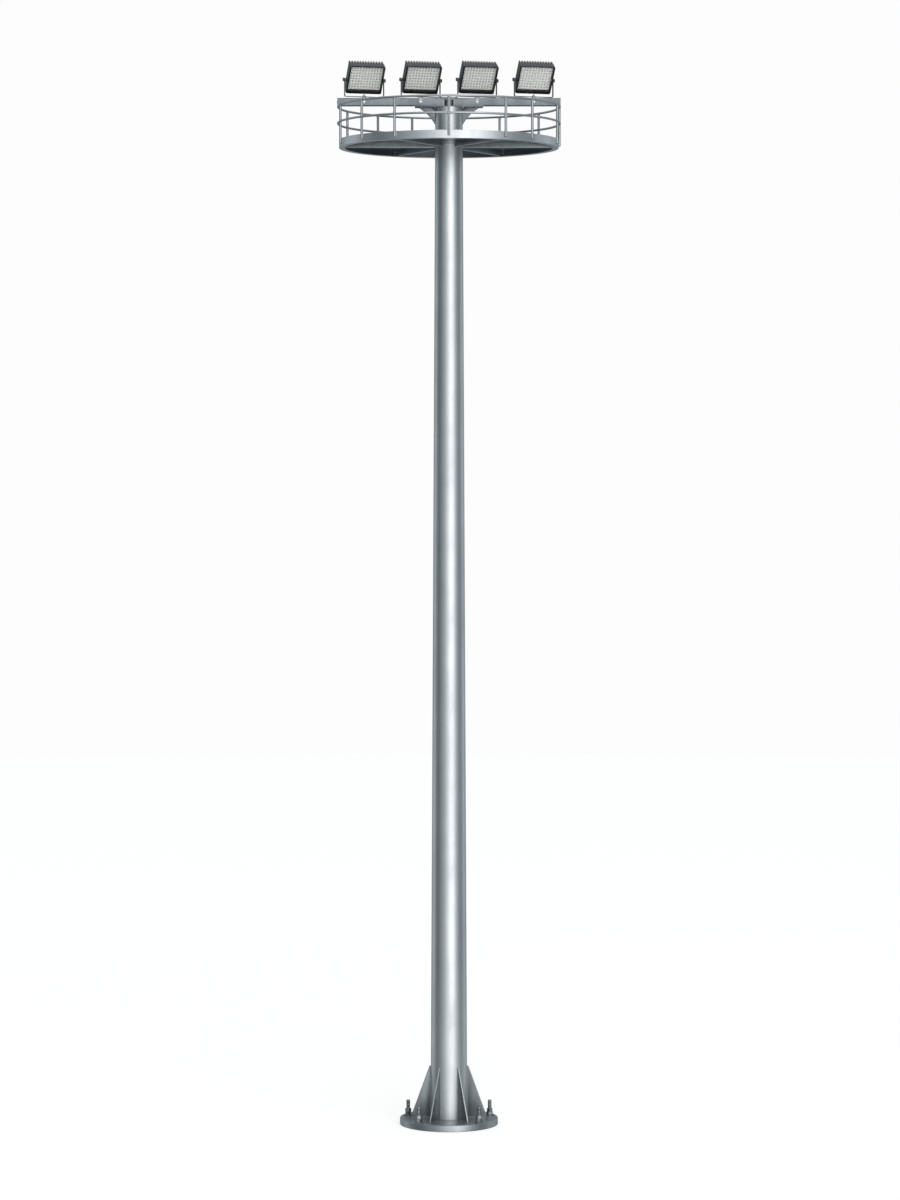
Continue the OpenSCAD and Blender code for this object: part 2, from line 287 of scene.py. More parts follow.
def strips(rows, count, loops):
    """Faces between each loop of points and the next; the last row may lead back to the first."""
    return [(k * count + i, k * count + (i + 1) % count,
             (k + 1) % loops * count + (i + 1) % count, (k + 1) % loops * count + i)
            for k in range(rows) for i in range(count)]


def caps(loops, count):
    """The two end faces of a row of loops."""
    return [tuple(reversed(range(count))), tuple((loops - 1) * count + i for i in range(count))]


def joined(parts, name):
    """One mesh from meshes, each alone or with the matrix that places it."""
    shape = bmesh.new()
    for part in parts:
        mesh, where = part if isinstance(part, tuple) else (part, Matrix.Identity(4))
        copy = mesh.copy()
        copy.transform(where)
        shape.from_mesh(copy)
        bpy.data.meshes.remove(copy)
    out = bpy.data.meshes.new(name)
    shape.to_mesh(out)
    shape.free()
    return out


def shape_object(mesh, name):
    """A helper object, for a modifier or a tree to use, which is removed afterwards."""
    shape = bpy.data.objects.new(name, mesh)
    scene.collection.objects.link(shape)
    return shape


def settled(host):
    """The plain mesh that an object's modifiers make; the object is removed."""
    graph = bpy.context.evaluated_depsgraph_get()
    mesh = bpy.data.meshes.new_from_object(host.evaluated_get(graph), depsgraph=graph)
    bpy.data.objects.remove(host)
    return mesh


def cut_out(mesh, bit_mesh):
    """The mesh with the shape of the bit taken out of it."""
    host, bit = shape_object(mesh, "host"), shape_object(bit_mesh, "bit")
    cut = host.modifiers.new("cut", "BOOLEAN")
    cut.operation, cut.solver, cut.object = "DIFFERENCE", "EXACT", bit
    out = settled(host)
    bpy.data.objects.remove(bit)
    return out


print("helpers ready")

# %% [markdown]
# ## Geometry Nodes helpers
# `new_tree` names a tree's inputs and `end_tree` gives every tree the same end. `grown_mesh` runs
# a tree on a seed mesh, sets each input by its identifier before anything is evaluated, and keeps
# the result as a plain mesh, so no modifier is left behind.


# %% Trees
def new_tree(title, inputs):
    """A tree with a Geometry input, named size inputs and a Geometry output."""
    tree = bpy.data.node_groups.new(title, "GeometryNodeTree")
    tree.interface.new_socket("Geometry", in_out="INPUT", socket_type="NodeSocketGeometry")
    for label, kind, value in inputs + [("Material", "Material", None)]:
        socket = tree.interface.new_socket(label, in_out="INPUT", socket_type="NodeSocket" + kind)
        if value is not None:
            socket.default_value = value
    tree.interface.new_socket("Geometry", in_out="OUTPUT", socket_type="NodeSocketGeometry")
    return tree, tree.nodes.new("NodeGroupInput").outputs


def end_tree(tree, shape, given):
    """Every tree ends the same way: instances made real, then the material."""
    real = node(tree, "GeometryNodeRealizeInstances", {0: shape})
    paint = node(tree, "GeometryNodeSetMaterial",
                 {"Geometry": real.outputs[0], "Material": given["Material"]})
    node(tree, "NodeGroupOutput", {0: paint.outputs[0]})
    print(tree.name, "has", len(tree.nodes), "nodes")


def grown_mesh(tree, seed, values, name="host"):
    """Runs a tree on a seed mesh and returns the plain mesh that it makes."""
    host = shape_object(seed, name)
    modifier = host.modifiers.new("grow", "NODES")
    modifier.node_group = tree
    for item in tree.interface.items_tree:
        if item.in_out == "INPUT" and item.name in values:
            modifier[item.identifier] = values[item.name]
    return settled(host)


def grow(tree, seed, values, name, body, smooth=40.0):
    """Runs a tree on a seed mesh and returns the result as a finished piece."""
    mesh = grown_mesh(tree, seed, values, name + "_seed")
    piece = finish_piece(mesh, name, body, values["Material"], smooth=smooth)
    print(name, len(mesh.vertices), "vertices", len(mesh.polygons), "faces")
    return piece


# %% [markdown]
# Small things that repeat share one tree: it puts a shape on every vertex of a seed mesh, turned
# to face along the vertex's own `facing` and spun by its own `spin`.

# %% Tree: a fixing on every point
fixings_tree, given = new_tree("fixings_on_points", [("Fixing", "Object", None),
                                                     ("Size", "Float", 1.0)])
model = node(fixings_tree, "GeometryNodeObjectInfo", {0: given["Fixing"]})
facing = node(fixings_tree, "GeometryNodeInputNamedAttribute", {"Name": "facing"},
              data_type="FLOAT_VECTOR")
spin = node(fixings_tree, "GeometryNodeInputNamedAttribute", {"Name": "spin"}, data_type="FLOAT")
align = node(fixings_tree, "FunctionNodeAlignRotationToVector",
             {"Vector": facing.outputs["Attribute"]}, axis="Z")
spun = node(fixings_tree, "FunctionNodeAxisAngleToRotation",
            {"Axis": (0, 0, 1), "Angle": spin.outputs["Attribute"]})
turned = node(fixings_tree, "FunctionNodeRotateRotation",
              {"Rotation": align.outputs[0], "Rotate By": spun.outputs[0]}, rotation_space="LOCAL")
placed = node(fixings_tree, "GeometryNodeInstanceOnPoints", {
    "Points": given["Geometry"], "Instance": model.outputs["Geometry"],
    "Rotation": turned.outputs[0], "Scale": given["Size"]})
end_tree(fixings_tree, placed.outputs[0], given)


def seed_points(places):
    """Seed mesh from (point, facing, spin) triples."""
    mesh = bpy.data.meshes.new("seed")
    mesh.from_pydata([tuple(p) for p, _, _ in places], [], [])
    facing_layer = mesh.attributes.new("facing", "FLOAT_VECTOR", "POINT")
    for i, (_, direction, _) in enumerate(places):
        facing_layer.data[i].vector = direction
    spin_layer = mesh.attributes.new("spin", "FLOAT", "POINT")
    for i, (_, _, angle) in enumerate(places):
        spin_layer.data[i].value = angle
    return mesh


def fixings(shape, places, name, body, material, smooth=40.0):
    """Puts a shape at many places and returns one finished piece."""
    model = shape_object(shape, name + "_shape")
    piece = grow(fixings_tree, seed_points(places),
                 {"Fixing": model, "Size": 1.0, "Material": material}, name, body, smooth)
    bpy.data.objects.remove(model)
    return piece


# %% [markdown]
# Weld beads follow lines. Their tree turns the seed's edges into a curve, makes points a few
# millimetres apart, lets the bead's radius wander a little as a hand weld does, and sweeps a
# round section along it.

# %% Tree: weld bead along edges
BEAD_RIPPLE, BEAD_SEED, BEAD_SIDES = 0.22, 7, 6

weld_tree, given = new_tree("weld_bead", [
    ("Radius", "Float", 0.008), ("Ripple", "Float", BEAD_RIPPLE), ("Spacing", "Float", 0.03),
    ("Seed", "Int", BEAD_SEED)])
line = node(weld_tree, "GeometryNodeMeshToCurve", {"Mesh": given["Geometry"]})
fine = node(weld_tree, "GeometryNodeResampleCurve",
            {"Curve": line.outputs[0], "Length": given["Spacing"]}, mode="LENGTH")
chance = node(weld_tree, "FunctionNodeRandomValue", data_type="FLOAT")
feed(weld_tree, chance, {"Min": -1.0, "Max": 1.0, "Seed": given["Seed"]})
wander = node(weld_tree, "ShaderNodeMath", {0: chance.outputs["Value"], 1: given["Ripple"], 2: 1.0},
              operation="MULTIPLY_ADD")
thick = node(weld_tree, "GeometryNodeSetCurveRadius",
             {"Curve": fine.outputs[0], "Radius": wander.outputs[0]})
section = node(weld_tree, "GeometryNodeCurvePrimitiveCircle",
               {"Resolution": BEAD_SIDES, "Radius": given["Radius"]})
swept = node(weld_tree, "GeometryNodeCurveToMesh", {
    "Fill Caps": True, "Curve": thick.outputs[0], "Profile Curve": section.outputs[0]})
if "Scale" in swept.inputs:
    feed(weld_tree, swept, {"Scale": node(weld_tree, "GeometryNodeInputRadius").outputs[0]})
end_tree(weld_tree, swept.outputs[0], given)


def seed_lines(lines):
    """Seed mesh from lists of points; a list whose ends meet is closed."""
    verts, edges = [], []
    for points in lines:
        first = len(verts)
        shut = (Vector(points[0]) - Vector(points[-1])).length < 1e-6
        kept = points[:-1] if shut else points
        verts += [tuple(p) for p in kept]
        edges += [(first + i, first + i + 1) for i in range(len(kept) - 1)]
        if shut:
            edges.append((first + len(kept) - 1, first))
    mesh = bpy.data.meshes.new("seed")
    mesh.from_pydata(verts, edges, [])
    return mesh


def welds(lines, radius, name, spacing):
    """Lays one bead along each line. Every weld of the tower is on the mast."""
    return grow(weld_tree, seed_lines(lines), {
        "Radius": radius, "Ripple": BEAD_RIPPLE, "Spacing": spacing, "Seed": BEAD_SEED,
        "Material": weld_metal}, name, "mast", smooth=60.0)


# %% [markdown]
# ## Finishes
# Everything structural is hot-dip galvanised: steel dipped in zinc, which sets in small crystals
# (the spangle), weathers in soft clouds and keeps faint runs where it drained. One function makes
# every zinc finish from four layers: cloud, run, spangle and fine grain. The shaft is the
# brightest;
# the plates are duller and darker, partly as their own tone and partly as painted shade under the
# beam and the deck, and the inner side of the rim is the darkest, with painted shade.


# %% Layers of a finish
def noise(tree, where, scale, detail=3.0, roughness=0.55):
    return node(tree, "ShaderNodeTexNoise", {
        "Vector": where, "Scale": scale, "Detail": detail, "Roughness": roughness}).outputs[0]


def two_tone(tree, factor, low, high):
    """A colour between two; each may be a colour of its own or come from a socket."""
    ends = {key: end if isinstance(end, bpy.types.NodeSocket) else (*end, 1)
            for key, end in (("A", low), ("B", high))}
    return node(tree, "ShaderNodeMix", {"Factor": factor, **ends},
                data_type="RGBA").outputs["Result"]


def weighed(tree, *layers):
    """The sum of layers, each (socket, weight)."""
    shares = [math_step(tree, "MULTIPLY", socket, weight) for socket, weight in layers]
    total = shares[0]
    for share in shares[1:]:
        total = math_step(tree, "ADD", total, share)
    return total


def relief(tree, height, strength, distance):
    return node(tree, "ShaderNodeBump", {
        "Strength": strength, "Distance": distance, "Height": height}).outputs[0]


def height_of(tree, where):
    return node(tree, "ShaderNodeSeparateXYZ", {0: where}).outputs["Z"]


def new_finish(name):
    """A material, its tree, its shader and the place on the object that every layer reads."""
    finish = bpy.data.materials.new(name)
    finish.use_nodes = True
    tree = finish.node_tree
    here = node(tree, "ShaderNodeTexCoord").outputs["Object"]
    return finish, tree, tree.nodes["Principled BSDF"], here


# %% Zinc
RUN_LEAN, RUN_STRETCH = math.radians(24), (5.0, 5.0, 0.9)
PAINTED_SHADE_SHARE = (0.30, 0.31, 0.32)           # painted shade: how much of the dull colour the rim's inner side keeps
SPLASH_LOW, SPLASH_HIGH, SPLASH_ROUGH = 0.2, 3.2, 0.13


def zinc(name, pale, dull, roughness, metallic=0.85, spangle=70.0, cloud=1.4, painted_shade_in=None,
         dull_foot=False):
    """Hot-dip zinc. The radius and height for painted shade bound the rim's inner side, whose
    colour is darkened as painted shade.
    """
    finish, tree, shade, here = new_finish(name)
    drained = node(tree, "ShaderNodeMapping", {
        "Vector": here, "Rotation": (0.0, RUN_LEAN, 0.0), "Scale": RUN_STRETCH}).outputs[0]
    crystals = node(tree, "ShaderNodeTexVoronoi", {"Vector": here, "Scale": spangle}, feature="F1")
    cell = node(tree, "ShaderNodeSeparateColor", {0: crystals.outputs["Color"]}).outputs
    tone = weighed(tree, (noise(tree, here, cloud, 4.0, 0.6), 0.45),
                   (noise(tree, drained, 1.0, 3.0, 0.5), 0.45), (cell[0], 0.10))
    spread = ramp_between(tree, tone, 0.0, 1.0, 0.30, 0.70)
    paint = two_tone(tree, spread, dull, pale)
    rough = ramp_between(tree, spread, roughness + 0.05, roughness - 0.05)
    # Painted shade: inside the given radius and above the given height the colour is darkened to
    # stand for the shade on the rim's inner side.
    if painted_shade_in:
        flat = node(tree, "ShaderNodeVectorMath", {0: here, 1: (1, 1, 0)}, operation="MULTIPLY")
        out_by = node(tree, "ShaderNodeVectorMath", {0: flat.outputs[0]}, operation="LENGTH")
        inner_r, foot_z = painted_shade_in
        outside = ramp_between(tree, out_by.outputs["Value"], 0.0, 1.0, inner_r, inner_r + 0.002)
        beneath = ramp_between(tree, height_of(tree, here), 1.0, 0.0, foot_z, foot_z + 0.001)
        paint = two_tone(tree, math_step(tree, "MAXIMUM", outside, beneath),
                         [part * share for part, share in zip(dull, PAINTED_SHADE_SHARE)], paint)
    if dull_foot:
        splash = ramp_between(tree, height_of(tree, here), SPLASH_ROUGH, 0.0, SPLASH_LOW,
                              SPLASH_HIGH)
        rough = math_step(tree, "ADD", rough, splash)
    height = weighed(tree, (cell[1], 0.4), (noise(tree, here, 160.0, 2.0, 0.6), 0.6))
    feed(tree, shade, {"Base Color": paint, "Roughness": rough, "Metallic": metallic,
                       "Normal": relief(tree, height, 0.05, 0.002)})
    return finish


BRIGHT_PALE, BRIGHT_DULL = (0.60, 0.63, 0.645), (0.44, 0.47, 0.49)
galvanised_shaft = zinc("galvanised_shaft", BRIGHT_PALE, BRIGHT_DULL, 0.31, dull_foot=True)
# The rim's inner side is darkened as painted shade.
galvanised_rim = zinc("galvanised_rim", (0.60, 0.63, 0.65), (0.46, 0.49, 0.51), 0.33,
                      painted_shade_in=(2.056, 18.339))
# Painted shade in part: this darker zinc on the plates, arms and beam is partly their own duller
# coat and partly stands for the shade under the beam and the deck.
galvanised_plate = zinc("galvanised_plate", (0.24, 0.27, 0.285), (0.15, 0.17, 0.18), 0.40,
                        cloud=2.2)
foot_plate = zinc("galvanised_foot_plate", (0.40, 0.43, 0.45), (0.27, 0.30, 0.315), 0.36,
                  cloud=2.6)
galvanised_tube = zinc("galvanised_tube", (0.44, 0.47, 0.49), (0.32, 0.35, 0.37), 0.40,
                       spangle=120.0)
# Painted shade in part: the deck's dark zinc also stands for the shade on its underside.
deck_steel = zinc("deck_steel", (0.30, 0.33, 0.35), (0.17, 0.19, 0.20), 0.30, metallic=0.75,
                  cloud=3.0)
# Pale zinc for the plated fixings, also used as painted light on gusset edges and arm undersides.
zinc_plate_and_painted_light = zinc("zinc_plated_and_painted_light", (0.78, 0.79, 0.78), (0.60, 0.62, 0.62), 0.30, spangle=300.0)
dull_fixing = zinc("galvanised_fixings", (0.30, 0.325, 0.34), (0.17, 0.185, 0.195), 0.38,
                   spangle=300.0)
weld_metal = zinc("galvanised_weld", (0.34, 0.37, 0.39), (0.22, 0.245, 0.26), 0.46,
                  spangle=200.0)
print("zinc finishes ready")

# %% [markdown]
# The lamps are powder coated. The coat has a fine orange peel, goes a little duller where dust
# settles, and is nearly black on the front frame.


# %% Powder coat
def powder_coat(name, colour, dust, roughness):
    finish, tree, shade, here = new_finish(name)
    spread = ramp_between(tree, noise(tree, here, 9.0, 4.0, 0.6), 0.0, 1.0, 0.35, 0.70)
    peel = noise(tree, here, 420.0, 2.0, 0.5)
    feed(tree, shade, {
        "Base Color": two_tone(tree, spread, colour, dust),
        "Roughness": ramp_between(tree, spread, roughness - 0.05, roughness + 0.10),
        "Normal": relief(tree, peel, 0.12, 0.0006)})
    return finish


lamp_grey = powder_coat("lamp_grey_coat", (0.030, 0.032, 0.035), (0.048, 0.050, 0.053), 0.42)
frame_black = powder_coat("frame_black_coat", (0.004, 0.0045, 0.005), (0.008, 0.0085, 0.009), 0.30)
yoke_grey = powder_coat("yoke_grey_coat", (0.085, 0.090, 0.098), (0.115, 0.120, 0.127), 0.42)
knob_black = powder_coat("knob_black_coat", (0.030, 0.032, 0.035), (0.045, 0.047, 0.050), 0.36)
print("powder coats ready")

# %% [markdown]
# A floodlight that is switched off shows a white board, rows of LEDs, each a yellow phosphor chip
# under a clear dome, and the room in its glass.


# %% Lamp glass, board and LEDs
def clear_finish(name, colour, alpha, smear, haze):
    """See-through finish; its haze follows a noise between two roughnesses."""
    finish, tree, shade, here = new_finish(name)
    feed(tree, shade, {"Base Color": (*colour, 1), "Alpha": alpha, "IOR": 1.5,
                       "Roughness": ramp_between(tree, noise(tree, here, *smear), *haze)})
    finish.surface_render_method = "BLENDED"
    return finish


def mottled_finish(name, dark, light, roughness, mottle):
    finish, tree, shade, here = new_finish(name)
    feed(tree, shade, {"Base Color": two_tone(tree, noise(tree, here, *mottle), dark, light),
                       "Roughness": roughness})
    return finish


lamp_glass = clear_finish("lamp_glass", (0.95, 0.95, 0.93), 0.12, (14.0, 3.0, 0.6),
                          (0.05, 0.16, 0.3, 0.7))
board_white = mottled_finish("board_white", (0.95, 0.93, 0.86), (0.98, 0.97, 0.94), 0.45,
                             (60.0, 3.0, 0.6))
chip_yellow = mottled_finish("phosphor_yellow", (0.62, 0.42, 0.10), (0.80, 0.62, 0.24), 0.5,
                             (90.0, 2.0, 0.5))
dome_clear = clear_finish("dome_clear", (0.60, 0.66, 0.74), 0.40, (40.0, 2.0, 0.5), (0.10, 0.25))
print("lamp finishes ready")

# %% [markdown]
# ## Plates with softened edges
# Flame-cut and machined plate never has a razor edge, and a zinc coat rounds it further. For each
# plate, a copy of the engineered mesh is merged, its flat faces are cleared and its sharp edges
# are rounded a few millimetres, so that they catch the light.


# %% Softened copies
SAME_POINT, FLAT_WITHIN, SHARP_ABOVE = 2e-5, 0.4, 50.0


def softened(part, edge, painted_light_face=None):
    shape = bmesh.new()
    shape.from_mesh(nodes[part].data)
    bmesh.ops.remove_doubles(shape, verts=shape.verts, dist=SAME_POINT)
    bmesh.ops.dissolve_limit(shape, angle_limit=math.radians(FLAT_WITHIN), verts=shape.verts,
                             edges=shape.edges)
    sharp = [e for e in shape.edges
             if e.is_manifold and e.calc_face_angle(0) > math.radians(SHARP_ABOVE)]
    bmesh.ops.bevel(shape, geom=sharp, offset=edge, offset_type="OFFSET", segments=2,
                    profile=0.5, affect="EDGES", clamp_overlap=True)
    mesh = bpy.data.meshes.new(part + "_plate")
    shape.to_mesh(mesh)
    shape.free()
    piece = finish_piece(mesh, part + "_softened", "mast", galvanised_plate,
                         smooth=35.0)
    # Painted light: the picked faces take the pale zinc, a painted highlight on the gussets' outer
    # edges and painted light on the arms' undersides.
    if painted_light_face:
        mesh.materials.append(zinc_plate_and_painted_light)
        for face in mesh.polygons:
            face.material_index = int(painted_light_face(face))
    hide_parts(part)
    print(part, "edges rounded", edge * 1000, "mm,", len(mesh.polygons), "faces")


def on_gusset_edge(face):
    """True on the narrow outer faces of a gusset, which look away from its two sides; they get a
    painted highlight.
    """
    turn = math.atan2(face.center.x, -face.center.y)
    nearest = math.radians(30 + 60 * round((math.degrees(turn) - 30) / 60))
    return abs(face.normal.x * math.cos(nearest) + face.normal.y * math.sin(nearest)) < 0.5


# Gusset edges get a painted highlight, and arm undersides get painted light.
softened("base_gussets", 0.004, on_gusset_edge)
softened("deck_arms", 0.003, lambda face: face.normal.z < -0.5)
softened("head_plate", 0.0025)
softened("haunches", 0.003)

# %% [markdown]
# Some parts are already the right shape, and only need their finish: the deck sheet, the lamp's
# inner tray and its glass.


# %% Parts that only take a finish
def keep(part, material):
    shape = nodes[part]
    shape.data.materials.clear()
    shape.data.materials.append(material)


keep("deck_plate", deck_steel)
for n in (1, 2, 3, 4):
    keep(f"lamp{n}_panel", board_white)
    keep(f"lamp{n}_lens", lamp_glass)
print("deck, trays and glasses finished as they are")

# %% [markdown]
# ## Shaft and rings
# The shaft is rolled from plate into a tapered tube. Turned and rolled parts are all a closed
# outline carried round the axis, so one helper makes them. The radii are read off the engineered
# part at its two ends, and there are enough sides to look round in any light.


# %% Rings round the axis
def ring(outline, count, name):
    """Closed ring: the outline of (radius, height) runs up the outside and down the inside."""
    turns = [2 * math.pi * i / count for i in range(count)]
    mesh = bpy.data.meshes.new(name)
    mesh.from_pydata([(r * math.cos(t), r * math.sin(t), z) for r, z in outline for t in turns],
                     [], strips(len(outline), count, len(outline)))
    return mesh


def ring_radii(part, z):
    """Smallest and largest radius of a part's points at one height."""
    radii = [math.hypot(v.co.x, v.co.y) for v in nodes[part].data.vertices
             if abs(v.co.z - z) < 1e-4]
    return min(radii), max(radii)


# %% Shaft
shaft_lo, shaft_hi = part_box("mast_shaft")
foot_in, foot_r = ring_radii("mast_shaft", shaft_lo.z)
top_r = ring_radii("mast_shaft", shaft_hi.z)[1]


def shaft_radius(z):
    return foot_r + (top_r - foot_r) * (z - shaft_lo.z) / (shaft_hi.z - shaft_lo.z)


SHAFT_LEVELS, SHAFT_SIDES = 16, 128
levels = [shaft_lo.z + (shaft_hi.z - shaft_lo.z) * i / SHAFT_LEVELS
          for i in range(SHAFT_LEVELS + 1)]
wall = foot_r - foot_in
shaft = finish_piece(
    ring([(shaft_radius(z), z) for z in levels] +
         [(shaft_radius(z) - wall, z) for z in reversed(levels)], SHAFT_SIDES, "tapered_shaft"),
    "tapered_shaft", "mast", galvanised_shaft)
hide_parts("mast_shaft")
print("shaft", round(foot_r * 2, 3), "to", round(top_r * 2, 3), "m across")

# %% Platform rim and collar
rim_lo, rim_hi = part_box("deck_rim")
rim_r = rim_hi.x
rim_in = ring_radii("deck_rim", rim_hi.z)[0]
flange_in = ring_radii("deck_rim", rim_lo.z)[0]
FLANGE_T, EDGE = 0.010, 0.002
flange_top = rim_lo.z + FLANGE_T
rim = finish_piece(
    ring([(rim_r - EDGE, rim_lo.z), (rim_r, rim_lo.z + EDGE), (rim_r, rim_hi.z - EDGE),
          (rim_r - EDGE, rim_hi.z), (rim_in + EDGE, rim_hi.z), (rim_in, rim_hi.z - EDGE),
          (rim_in, flange_top), (flange_in + EDGE, flange_top), (flange_in, flange_top - EDGE),
          (flange_in, rim_lo.z + EDGE), (flange_in + EDGE, rim_lo.z)], 240, "deck_rim_band"),
    "deck_rim_band", "mast", galvanised_rim)
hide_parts("deck_rim")

COLLAR_EDGE = 0.003
collar_lo, collar_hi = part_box("deck_collar")
collar_r = collar_hi.x
# Painted shade: the collar takes the darker foot-plate zinc, which stands for the shade under the
# deck above it.
collar = finish_piece(
    ring([(collar_r - COLLAR_EDGE, collar_lo.z), (collar_r, collar_lo.z + COLLAR_EDGE),
          (collar_r, collar_hi.z - COLLAR_EDGE), (collar_r - COLLAR_EDGE, collar_hi.z),
          (shaft_radius(collar_hi.z), collar_hi.z), (shaft_radius(collar_lo.z), collar_lo.z)],
         SHAFT_SIDES, "shaft_collar"), "shaft_collar", "mast", foot_plate)
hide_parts("deck_collar")
print("rim radius", round(rim_r, 3), "collar radius", round(collar_r, 4))

# %% [markdown]
# The base plate is one thick disc with a hole for each anchor. The disc is a turned outline with
# rounded edges, and a boolean drills it.

# %% Base plate
HOLE_R, BIT_PAST = 0.041, 0.05           # an anchor's hole, and how far the bit runs past the plate
base_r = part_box("base_plate")[1].x
disc = lathe([(base_r - 0.008, 0.0), (base_r - 0.003, 0.002), (base_r, 0.008),
              (base_r, plate_top - 0.012), (base_r - 0.0035, plate_top - 0.0035),
              (base_r - 0.012, plate_top)], 160, "disc")
anchor_bit = lathe([(HOLE_R, -BIT_PAST), (HOLE_R, plate_top + BIT_PAST)], 40, "bit")
plate_mesh = cut_out(disc, joined([(anchor_bit, Matrix.Translation(p)) for p in anchors], "drill"))
plate = finish_piece(plate_mesh, "drilled_base_plate", "mast", foot_plate,
                     smooth=35.0)
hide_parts("base_plate")
print("base plate", round(base_r * 2, 2), "m across,", len(plate_mesh.polygons), "faces")

# %% [markdown]
# ## Anchor studs, nuts and washers
# Each stud is a threaded bar held by a washer and two nuts, one locking the other. A nut is a
# hexagon whose corners are turned off at 30 degrees, so its rings follow the smaller of a
# hexagon and a cone. The thread is a spiral curve with a triangular section, made by its own tree.


# %% Nut, washer and stud shapes
CORNER_START = 0.95                      # the turned-off corners begin at this share of a flat


def hexagon(across):
    """Where a hexagon's turned-off corners begin, its radius at an angle, and their drop there."""
    flat = across / 2 * CORNER_START

    def corner(a):
        return across / 2 / math.cos((a + math.pi / 6) % (math.pi / 3) - math.pi / 6)

    def shoulder(a):
        return (corner(a) - flat) * math.tan(math.radians(30))
    return flat, corner, shoulder


def nut_mesh(across, height, bore):
    flat, corner, shoulder = hexagon(across)
    return lathe([(bore, 0.0), (flat, 0.0), (corner, shoulder),
                  (corner, lambda a: height - shoulder(a)), (flat, height), (bore, height)],
                 48, "nut")


def washer_mesh(outer, height):
    edge = height * 0.2
    return lathe([(outer - edge, 0), (outer, edge), (outer, height - edge),
                  (outer - edge, height)], 48, "washer")


thread_tree, given = new_tree("screw_thread", [
    ("Radius", "Float", 0.03), ("Pitch", "Float", 0.006), ("Length", "Float", 0.1)])
helix = node(thread_tree, "GeometryNodeCurveSpiral", {
    "Resolution": 24, "Start Radius": given["Radius"], "End Radius": given["Radius"],
    "Height": given["Length"],
    "Rotations": math_step(thread_tree, "DIVIDE", given["Length"], given["Pitch"])})
ridge = node(thread_tree, "GeometryNodeCurvePrimitiveCircle", {
    "Resolution": 3, "Radius": math_step(thread_tree, "MULTIPLY", given["Pitch"], 0.42)})
thread = node(thread_tree, "GeometryNodeCurveToMesh", {
    "Fill Caps": True, "Curve": helix.outputs[0], "Profile Curve": ridge.outputs[0]})
copies = node(thread_tree, "GeometryNodeInstanceOnPoints",
              {"Points": given["Geometry"], "Instance": thread.outputs[0]})
end_tree(thread_tree, copies.outputs[0], given)

UP, DOWN = (0, 0, 1), (0, 0, -1)


def threads(places, radius, pitch, length, name, material):
    return grow(thread_tree, seed_points([(p, UP, 0) for p in places]),
                {"Radius": radius, "Pitch": pitch, "Length": length, "Material": material},
                name, "mast", smooth=30.0)


# %% Anchors
NUT_ACROSS, NUT_GAP, STUD_PITCH = 1.46, 0.001, 0.006
nut_lo, nut_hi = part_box("anchor_nuts")
washer_lo, washer_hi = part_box("anchor_washers")
stud_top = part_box("anchor_studs")[1].z
stud_r, washer_r = (((box[1] - box[0]) / 2).x
                    for box in (islands(p)[0] for p in ("anchor_studs", "anchor_washers")))
nut_h = (nut_hi.z - nut_lo.z - NUT_GAP) / 2


def raised(point, z):
    return point + Vector((0, 0, z))


studs = lathe([(stud_r - 0.0035, 0.0), (stud_r - 0.0035, stud_top - 0.004),
               (stud_r - 0.009, stud_top)], 40, "stud")
stud_piece = fixings(studs, [(p, UP, 0) for p in anchors], "anchor_stud_cores", "mast",
                     dull_fixing)
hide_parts("anchor_studs")
threads([raised(p, nut_hi.z - 0.004) for p in anchors], stud_r - 0.0026, STUD_PITCH,
        stud_top - nut_hi.z - 0.004, "anchor_stud_threads", dull_fixing)

nut_places = []
for i, p in enumerate(anchors):
    nut_places += [(raised(p, nut_lo.z), UP, 0.35 * i),
                   (raised(p, nut_lo.z + nut_h + NUT_GAP), UP, 0.35 * i + 0.3)]
nuts = fixings(nut_mesh(stud_r * 2 * NUT_ACROSS, nut_h, stud_r), nut_places, "anchor_hex_nuts",
               "mast", dull_fixing)
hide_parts("anchor_nuts")
washers = fixings(washer_mesh(washer_r, washer_hi.z - washer_lo.z),
                  [(raised(p, washer_lo.z), UP, 0) for p in anchors],
                  "anchor_plate_washers", "mast", dull_fixing)
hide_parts("anchor_washers")

# %% [markdown]
# ## Welds on the mast
# Every joint between plate and shaft has a fillet weld. The lines come from the engineered boxes:
# round the foot of the shaft between the gussets, along both sides of each gusset, round the
# collar and the top, and along the haunches.

# %% Weld lines at the base
gusset_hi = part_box("base_gussets")[1].z
gusset_angles = [math.radians(s * (30 + 60 * k)) for s in (-1, 1) for k in (0, 1, 2)]
GUSSET_HALF, GUSSET_FOOT = 0.013, 0.700  # half its thickness, and the outer end of its foot


def out_from(angle, radius, side=0.0, z=0.0):
    """Point at a radius on the ray at an angle from the front, moved sideways."""
    return Vector((radius * math.sin(angle) + side * math.cos(angle),
                   -radius * math.cos(angle) + side * math.sin(angle), z))


def arc(r, z, a0, a1, steps):
    return [out_from(a0 + (a1 - a0) * i / steps, r, 0, z) for i in range(steps + 1)]


weld_z = plate_top + 0.002
base_lines = []
turned_angles = sorted(gusset_angles)
trim = GUSSET_HALF / foot_r
for a, after in zip(turned_angles, turned_angles[1:] + [turned_angles[0] + 2 * math.pi]):
    base_lines.append(arc(foot_r + 0.002, weld_z, a + trim, after - trim, 14))
for a in gusset_angles:
    for side in (-GUSSET_HALF, GUSSET_HALF):
        base_lines.append([out_from(a, foot_r, side, weld_z),
                           out_from(a, GUSSET_FOOT, side, weld_z)])
        base_lines.append([out_from(a, shaft_radius(z) + 0.001, side, z)
                           for z in (plate_top, plate_top + 0.4, gusset_hi)])
    base_lines.append([out_from(a, GUSSET_FOOT, side, weld_z)
                       for side in (-GUSSET_HALF, GUSSET_HALF)])
welds(base_lines, 0.009, "base_welds", 0.012)

